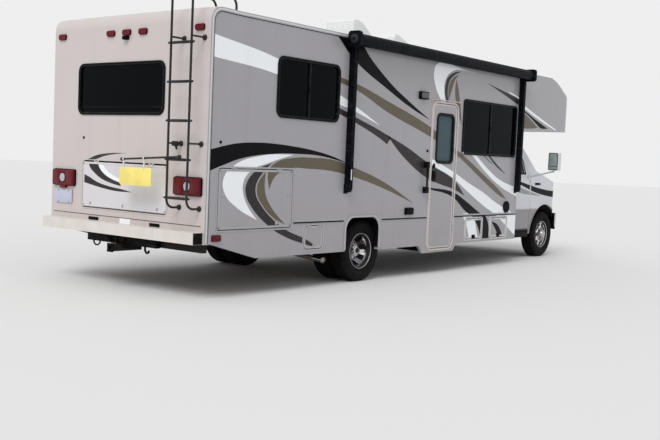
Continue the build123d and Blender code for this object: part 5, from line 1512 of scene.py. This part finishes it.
def trimMirror(side):
    # the glass faces back; u runs outwards across the head
    rim, glass = bmesh.new(), bmesh.new()
    face = onRear(-mirrorSet["face"])
    layAt(face, rim, plate(spanOf(-side, *mirrorSet["rim"]), (1.45, 1.715), 0.022, -0.002, 0.004, 0.0015, rim=0.01),
        plate(spanOf(-side, *mirrorSet["bar"]), (1.5015, 1.5095), 0.002, -0.002, 0.003, 0.001))
    layAt(face, glass, plate(spanOf(-side, *mirrorSet["glass"]), (1.507, 1.707), 0.014, -0.001, 0.0012, 0.0005),
        plate(spanOf(-side, *mirrorSet["glass"]), (1.458, 1.504), 0.014, -0.001, 0.002, 0.0008))
    body = "cab_door_" + sideNames[side]
    finish("mirrorRim_" + sideNames[side], rim, "trimBlack", body)
    finish("mirrorGlass_" + sideNames[side], glass, "mirrorGlass", body)


for wallSide in (right, left):
    trimCabSide(wallSide)
print("cab sides trimmed")


# Nose: spans out from the middle plane and heights, each lamp's centre, and its rings as inner and outer radius
noseSet = {
    "bezel": ((0.474, 0.866), (0.814, 1.046)), "turn": ((0.8, 0.848), (0.835, 1.025)),
    "slot": ((0.17, 0.47), (0.528, 0.59)), "groove": ((0.2, 0.92), (0.703, 0.716)),
    "grille": ((-0.442, 0.442), (0.776, 1.084)), "lamps": ((0.575, 0.93), (0.715, 0.93)), "fog": (0.64, 0.605),
    "lampRing": (0.03, 0.063), "lens": (0.0, 0.031), "fogHole": (0.0, 0.062), "fogLens": (0.0, 0.044),
    "fogRing": (0.044, 0.052), "fins": 56, "finPitch": 0.0145, "finHalf": 0.0012, "finStart": -0.4,
}


def trimNose():
    bezels, chrome, dark, lamps, amber = (bmesh.new() for _ in range(5))

    def faced(flat, tree, height, pitch):
        return drape(flat, fromFront, tree, height, pitch)

    def ringOn(side, spot, ring, steps, tree, height):
        flat = flatRing((side * spot[0], spot[1]), *noseSet[ring], 0, 360, steps)
        return faced(flat, tree, height, uncut)

    def boxOn(side, key, radius, **more):
        span, heights = noseSet[key]
        return flatPlate(spanOf(side, *span), heights, radius, **more)

    for side in (right, left):
        lay(bezels, faced(boxOn(side, "bezel", 0.045, rim=0.013), noseTree, 0.006, 0.06))
        for spot in noseSet["lamps"]:
            lay(chrome, ringOn(side, spot, "lampRing", 32, noseTree, 0.0025))
            lay(lamps, ringOn(side, spot, "lens", 24, noseTree, 0.006))
        lay(amber, faced(boxOn(side, "turn", 0.015), noseTree, 0.0025, 0.03))
        lay(dark, faced(boxOn(side, "slot", 0.02), bumperTree, 0.003, 0.05),
            faced(boxOn(side, "groove", 0.004), bumperTree, 0.004, 0.05),
            ringOn(side, noseSet["fog"], "fogHole", 32, bumperTree, 0.003))
        lay(lamps, ringOn(side, noseSet["fog"], "fogLens", 28, bumperTree, 0.008))
        lay(chrome, ringOn(side, noseSet["fog"], "fogRing", 28, bumperTree, 0.01))
    lay(chrome, faced(flatPlate(*noseSet["grille"], 0.048, rim=0.017), noseTree, 0.009, 0.05))
    for name, whole, look, slotName in (
            ("lampBezels", bezels, "trimBlack", "black_trim"), ("noseChrome", chrome, "wheelChrome", "wheel_chrome"),
            ("bumperInserts", dark, "trimBlack", "black_trim"), ("noseLenses", lamps, "lensClear", "headlamp_clear"),
            ("turnLenses", amber, "lensAmber", "headlamp_clear")):
        finish(name, whole, look, sharp=25)

    core = bmesh.new()
    lay(core, slab(at(8.47, -0.415, 0.8), at(8.5, 0.415, 1.06), 0.003, 1))
    for step in range(noseSet["fins"]):
        spot, half = noseSet["finStart"] + step * noseSet["finPitch"], noseSet["finHalf"]
        lay(core, slab(at(8.498, spot - half, 0.812), at(8.51, spot + half, 1.048)))
    finish("radiatorCore", core, "castGrey")


# Windscreen, cowl, hood and bunk cap, seen from the front as (across, up); the hood as (along, across)
frontSet = {
    "screen": ((-0.853, 1.487), (0.853, 1.487), (0.733, 1.988), (-0.733, 1.988)), "cowl": ((-0.8, 0.8), (1.43, 1.48)),
    "wipers": ((-0.62, 0.02), (0.1, 0.74)), "crease": ((7.8, 8.47), (0.4, 0.5)), "jet": (7.9, 0.3),
    "bunkLamps": (-1.02, -0.24, 0.0, 0.24, 1.02), "lampBase": (0.06, (2.655, 2.705)),
    "lampLens": (0.05, (2.662, 2.698)),
}


def trimScreen():
    rim = flatOutline(frontSet["screen"], rim=0.038)
    finish("screenRim", drape(rim, fromFront, screenTree, 0.0012, 0.06), "frameBlack", sharp=20)
    cowl = joined([drape(flatPlate(*frontSet["cowl"], 0.01), fromFront, cabTree, 0.004, 0.04)])
    finish("cowlGrille", cowl, "trimBlack", sharp=25)
    wipers = bmesh.new()
    for pivot, tip in frontSet["wipers"]:
        rows = [(pivot, 1.47), (pivot + 0.24 * (tip - pivot), 1.498), (pivot + 0.55 * (tip - pivot), 1.545)]
        points = []
        for index, (u, v) in enumerate(rows):
            spot, normal = hitFrom(fromFront, screenTree if index else cabTree, u, v)
            points.append(spot + normal * (0.02 if index else 0.012))
        lay(wipers, curvePart(points, radius=0.0055), bar(points[0] - Vector((0.02, 0, 0.004)),
            points[0] + Vector((0.012, 0, 0.006)), 0.014, edge=0.003))
        blade = []
        for step in range(9):
            share = step / 8
            spot, normal = hitFrom(fromFront, screenTree, pivot + 0.08 + share * 0.6, 1.53 + 0.035 * share)
            blade.append(spot + normal * 0.008)
        lay(wipers, curvePart(blade, radius=0.0065), bar(blade[4], points[2], 0.005))
    finish("wipers", wipers, "trimBlack")


def trimHood():
    creases, nozzles = bmesh.new(), bmesh.new()
    for side in (right, left):
        along, across = frontSet["crease"]
        part = flatPlate(along, spanOf(side, *across), 0.045)
        lay(creases, drape(part, "top", cabTree, 0.005, 0.05))
        along, across = frontSet["jet"]
        spot, _ = hitFrom("top", cabTree, along, side * across)
        lay(nozzles, slab(spot + Vector((-0.012, -0.016, -0.004)), spot + Vector((0.012, 0.016, 0.01)), 0.004, 3))
    finish("hoodCreases", creases, "whiteCab", "hood", sharp=15)
    finish("washerJets", nozzles, "trimBlack", "hood")


def trimBunk():
    lamps, bases = bmesh.new(), bmesh.new()
    for spot in frontSet["bunkLamps"]:
        for whole, key, radius, height in ((bases, "lampBase", 0.02, 0.006), (lamps, "lampLens", 0.015, 0.02)):
            half, heights = frontSet[key]
            lay(whole, drape(flatPlate((spot - half, spot + half), heights, radius), fromFront, capTree, height, 0.02))
    finish("bunkLampBases", bases, "trimBlack")
    finish("bunkLamps", lamps, "lensAmber")


trimNose()
trimScreen()
trimHood()
trimBunk()
print("cab front trimmed")

# Seats seen through the cab's glass: along, across and up pairs of each cushion
seatCushions = (
    ((6.8, 7.26), (0.255, 0.745), (0.86, 1.045), 0.055), ((6.655, 6.86), (0.262, 0.738), (1.0, 1.515), 0.055),
    ((6.66, 6.78), (0.37, 0.63), (1.5, 1.555), 0.02),
)
backPivot, backLean = at(6.8, 0, 1.0), math.radians(-8)


def makeSeats():
    whole = bmesh.new()
    for side in (right, left):
        for along, across, upward, edge in seatCushions:
            y = spanOf(side, *across)
            part = slab(at(along[0], y[0], upward[0]), at(along[1], y[1], upward[1]), edge, 5)
            if upward[1] > 1.5 and upward[0] < 1.1:
                lean = Matrix.Translation(backPivot) @ Matrix.Rotation(backLean, 4, "Y")
                bmesh.ops.transform(part, matrix=lean @ Matrix.Translation(-backPivot), verts=part.verts)
            lay(whole, part)
    finish("seatCushions", whole, "seatCloth", sharp=60)


makeSeats()
print("cab inside made")

# Awning, roof units, ladder, hitch and exhaust
awningSet = {"ends": (2.13, 6.55), "y": -1.38, "z": 2.85, "radius": 0.068, "arms": (2.245, 6.455),
    "armFace": -1.3275, "headThick": 0.04, "seams": 9}


def trimAwning():
    metal, pale, cloth = bmesh.new(), bmesh.new(), bmesh.new()
    y, z = awningSet["y"], awningSet["z"]
    for end, inward in zip(awningSet["ends"], (1, -1)):
        # rounded cap, its screws and the collar where the roller enters the head; the cap's paler grey is a painted
        # highlight
        lay(pale, bar(at(end + inward * 0.002, y, z), at(end - inward * 0.007, y, z), 0.056, 0.05, segments=40,
            edge=0.003))
        lay(metal, bar(at(end - inward * 0.005, y, z), at(end - inward * 0.011, y, z), 0.016, segments=6, edge=0.001))
        collar = end + inward * awningSet["headThick"]
        lay(metal, bar(at(collar, y, z), at(collar + inward * 0.022, y, z), 0.077, 0.071, segments=40, edge=0.002))
    for arm in awningSet["arms"]:
        front = awningSet["armFace"]
        for offset in (-0.026, 0.026):
            lay(metal, slab(at(arm + offset - 0.004, front - 0.01, 1.12),
                at(arm + offset + 0.004, front + 0.004, 2.76), 0.002))
        lay(metal, slab(at(arm - 0.016, front - 0.007, 1.14), at(arm + 0.016, front + 0.004, 2.7), 0.003))
        for spot in (1.47, 2.05, 2.6):
            lay(pale, bar(at(arm, front - 0.004, spot), at(arm, front - 0.016, spot), 0.01, edge=0.002))
        lay(metal, slab(at(arm - 0.04, -1.2625, 1.075), at(arm + 0.04, -1.257, 1.185), 0.002),
            slab(at(arm - 0.026, -1.3275, 1.092), at(arm + 0.026, -1.258, 1.116), 0.005, 3))
        for spot in (-0.024, 0.024):
            lay(pale, bar(at(arm + spot, -1.261, 1.088), at(arm + spot, -1.2665, 1.088), 0.006, segments=6))
        lay(metal, bar(at(arm - 0.037, -1.292, 2.62), at(arm + 0.037, -1.292, 2.62), 0.015, edge=0.003))
    for step in range(awningSet["seams"]):
        angle = math.radians(20 + step * 18)
        spot = awningSet["radius"] + 0.0005
        path = [at(x, y - spot * math.cos(angle), z + spot * math.sin(angle)) for x in (2.19, 6.49)]
        lay(cloth, bar(path[0], path[1], 0.0014, segments=6))
    rail = [at(x, -1.2745, 2.842) for x in (2.2, 6.5)]
    lay(cloth, bar(rail[0], rail[1], 0.006, segments=12))
    finish("awningHardware", metal, "awningBlack")
    finish("awningCaps", pale, "awningGrey")
    finish("awningSeams", cloth, "awningBlack")
    mark = bmesh.new()
    lay(mark, slab(at(awningSet["arms"][0] - 0.01, -1.337, 1.235), at(awningSet["arms"][0] + 0.01, -1.334, 1.36),
        0.001, 1))
    finish("armMark", mark, "trimWhite")


trimAwning()

unitTree = treeOf(("roof_units",))
# Roof units: slats as their first place, pitch and number; the lid as along and across spans; the dome's middle
roofSet = {"front": (-0.3, 0.06, 11), "sides": (2.975, 0.028, 6), "rear": (-0.735, 0.085, 5),
    "lid": ((2.93, 3.33), (-0.76, -0.38)), "dome": (5.0, -0.75), "screws": 12, "screwCircle": 0.164}


def slatPlaces(key):
    first, pitch, count = roofSet[key]
    return [first + step * pitch for step in range(count)]


def trimRoof():
    slats, seams = bmesh.new(), bmesh.new()
    for spot in slatPlaces("front"):
        lay(slats, slab(at(4.3905, spot - 0.021, 2.975), at(4.402, spot + 0.021, 3.145), 0.003))
    for side in (right, left):
        y = spanOf(side, 0.344, 0.3525)
        for z in slatPlaces("sides"):
            lay(slats, slab(at(4.47, y[0], z - 0.007), at(4.83, y[1], z + 0.007), 0.002))
    lay(seams, drape(flatPlate(*roofSet["lid"], 0.05, rim=0.008), "top", unitTree, 0.0025, 0.04))
    for across in slatPlaces("rear"):
        lay(slats, slab(at(2.8795, across - 0.02, 2.985), at(2.886, across + 0.02, 3.165), 0.002))
    dome = spun(((-0.02, 0.178), (0.004, 0.178), (0.01, 0.172), (0.012, 0.15)), 48)
    (along, across), reach = roofSet["dome"], roofSet["screwCircle"]
    layAt(Matrix.Translation(at(along, across, 2.903)), seams, dome)
    for step in range(roofSet["screws"]):
        angle = math.tau * step / roofSet["screws"]
        spot = at(along + reach * math.cos(angle), across + reach * math.sin(angle), 2.905)
        lay(seams, bar(spot, spot + Vector((0, 0, 0.013)), 0.005, segments=12, edge=0.001))
    finish("roofUnitSlats", slats, "unitWhite")
    finish("roofUnitSeams", seams, "unitWhite")


trimRoof()

ladderSet = {"rails": (-1.175, -0.885), "off": -0.175, "rungs": (1.02, 1.4, 1.78, 2.16, 2.54),
    "stays": (2.6, 1.56), "foot": 0.92}


def trimLadder():
    whole = bmesh.new()
    for z in ladderSet["rungs"]:
        ends = ladderSet["rails"]
        lay(whole, bar(at(ladderSet["off"], ends[0] + 0.03, z), at(ladderSet["off"], ends[1] - 0.03, z), 0.0145,
            segments=16, edge=0.002))
        for y in ends:
            layAt(Matrix.Translation(at(ladderSet["off"], y, z)), whole,
                spun(((-0.012, 0.0155), (-0.01, 0.0172), (0.01, 0.0172), (0.012, 0.0155)), 20))
    for y in ladderSet["rails"]:
        for z in (*ladderSet["stays"], ladderSet["foot"]):
            lay(whole, bar(at(-0.02, y, z), at(0.002, y, z), 0.02, 0.031, segments=28, edge=0.002))
    # a clamp round one of the wall stays
    lay(whole, slab(at(-0.115, -0.906, 1.532), at(-0.045, -0.866, 1.582), 0.008, 3),
        bar(at(-0.07, -0.886, 1.535), at(-0.06, -0.886, 1.498), 0.014, 0.009, edge=0.002))
    finish("ladderFittings", whole, "ladderBlack")


trimLadder()

# Hitch: the bail and the hook are rods through points given from their own place across
hitchSet = {
    "plate": ((-0.006, -0.56, 0.47), (0.058, 0.575, 0.56)), "loops": (0.4, 0.06), "hook": -0.395,
    "bailPath": ((-0.01, -0.055, 0.485), (-0.012, -0.05, 0.45), (-0.014, -0.02, 0.428), (-0.014, 0.02, 0.428),
                 (-0.012, 0.05, 0.45), (-0.01, 0.055, 0.485)),
    "hookPath": ((-0.01, 0.0, 0.485), (-0.012, -0.004, 0.44), (-0.014, -0.03, 0.412), (-0.014, -0.06, 0.418),
                 (-0.014, -0.068, 0.44)),
    "socket": ((-0.035, 0.15, 0.488), (-0.004, 0.23, 0.545)), "links": 3,
}


def chainLink(centre, long, wide, thick, turned):
    angles = [math.tau * step / 8 for step in range(9)]
    ring = spun([(thick * math.sin(a), wide / 2 + thick * math.cos(a)) for a in angles], 20)
    bmesh.ops.scale(ring, vec=(1, long / wide, 1), verts=ring.verts)
    bmesh.ops.rotate(ring, cent=(0, 0, 0), matrix=Matrix.Rotation(math.radians(90), 3, "X"), verts=ring.verts)
    if turned:
        bmesh.ops.rotate(ring, cent=(0, 0, 0), matrix=Matrix.Rotation(math.radians(90), 3, "Z"), verts=ring.verts)
    bmesh.ops.translate(ring, vec=centre, verts=ring.verts)
    return ring


def rodAt(across, path, radius):
    return curvePart([at(x, across + y, z) for x, y, z in path], radius=radius, smooth=False)


def trimHitch():
    whole = bmesh.new()
    low, high = hitchSet["plate"]
    lay(whole, slab(at(*low), at(*high), 0.006))
    for side in (right, left):
        lay(whole, slab(at(-0.02, side * 0.06 - 0.006, 0.43), at(0.058, side * 0.06 + 0.006, 0.548), 0.003))
    for y in hitchSet["loops"]:
        lay(whole, rodAt(y, hitchSet["bailPath"], 0.009))
    for step in range(hitchSet["links"]):
        lay(whole, chainLink(at(-0.014, hitchSet["loops"][1] + 0.085, 0.462 - step * 0.022), 0.03, 0.018, 0.0035,
            step % 2))
    low, high = hitchSet["socket"]
    lay(whole, rodAt(hitchSet["hook"], hitchSet["hookPath"], 0.012), slab(at(*low), at(*high), 0.006, 3),
        bar(at(-0.034, 0.19, 0.516), at(-0.048, 0.19, 0.516), 0.024, edge=0.003))
    finish("hitchFittings", whole, "trimBlack")
    rim = plate((-0.047, 0.047), (0.391, 0.485), 0.01, 0.14, 0.153, edge=0.002, rim=0.0215)
    collar = bmesh.new()
    layAt(onRear(), collar, rim)
    finish("receiverCollar", collar, "trimBlack")


trimHitch()


exhaustSet = {"start": (2.12, -0.57, 0.32), "end": (1.96, -1.19, 0.305), "length": 0.17}


def trimExhaust():
    start, end, length = at(*exhaustSet["start"]), at(*exhaustSet["end"]), exhaustSet["length"]
    way = (end - start).normalized()
    sleeve = spun(((0.0, 0.0295), (0.004, 0.0345), (length - 0.012, 0.0365), (length - 0.003, 0.0385),
        (length, 0.0365), (length - 0.003, 0.0345), (length - 0.05, 0.0325)), 40)
    turn = way.to_track_quat("Z", "Y").to_matrix().to_4x4()
    whole = bmesh.new()
    layAt(Matrix.Translation(end - way * (length - 0.006)) @ turn, whole, sleeve)
    finish("exhaustTip", whole, "wheelChrome", sharp=40)


trimExhaust()
print("roof, ladder and hitch made")

print("all pieces made")
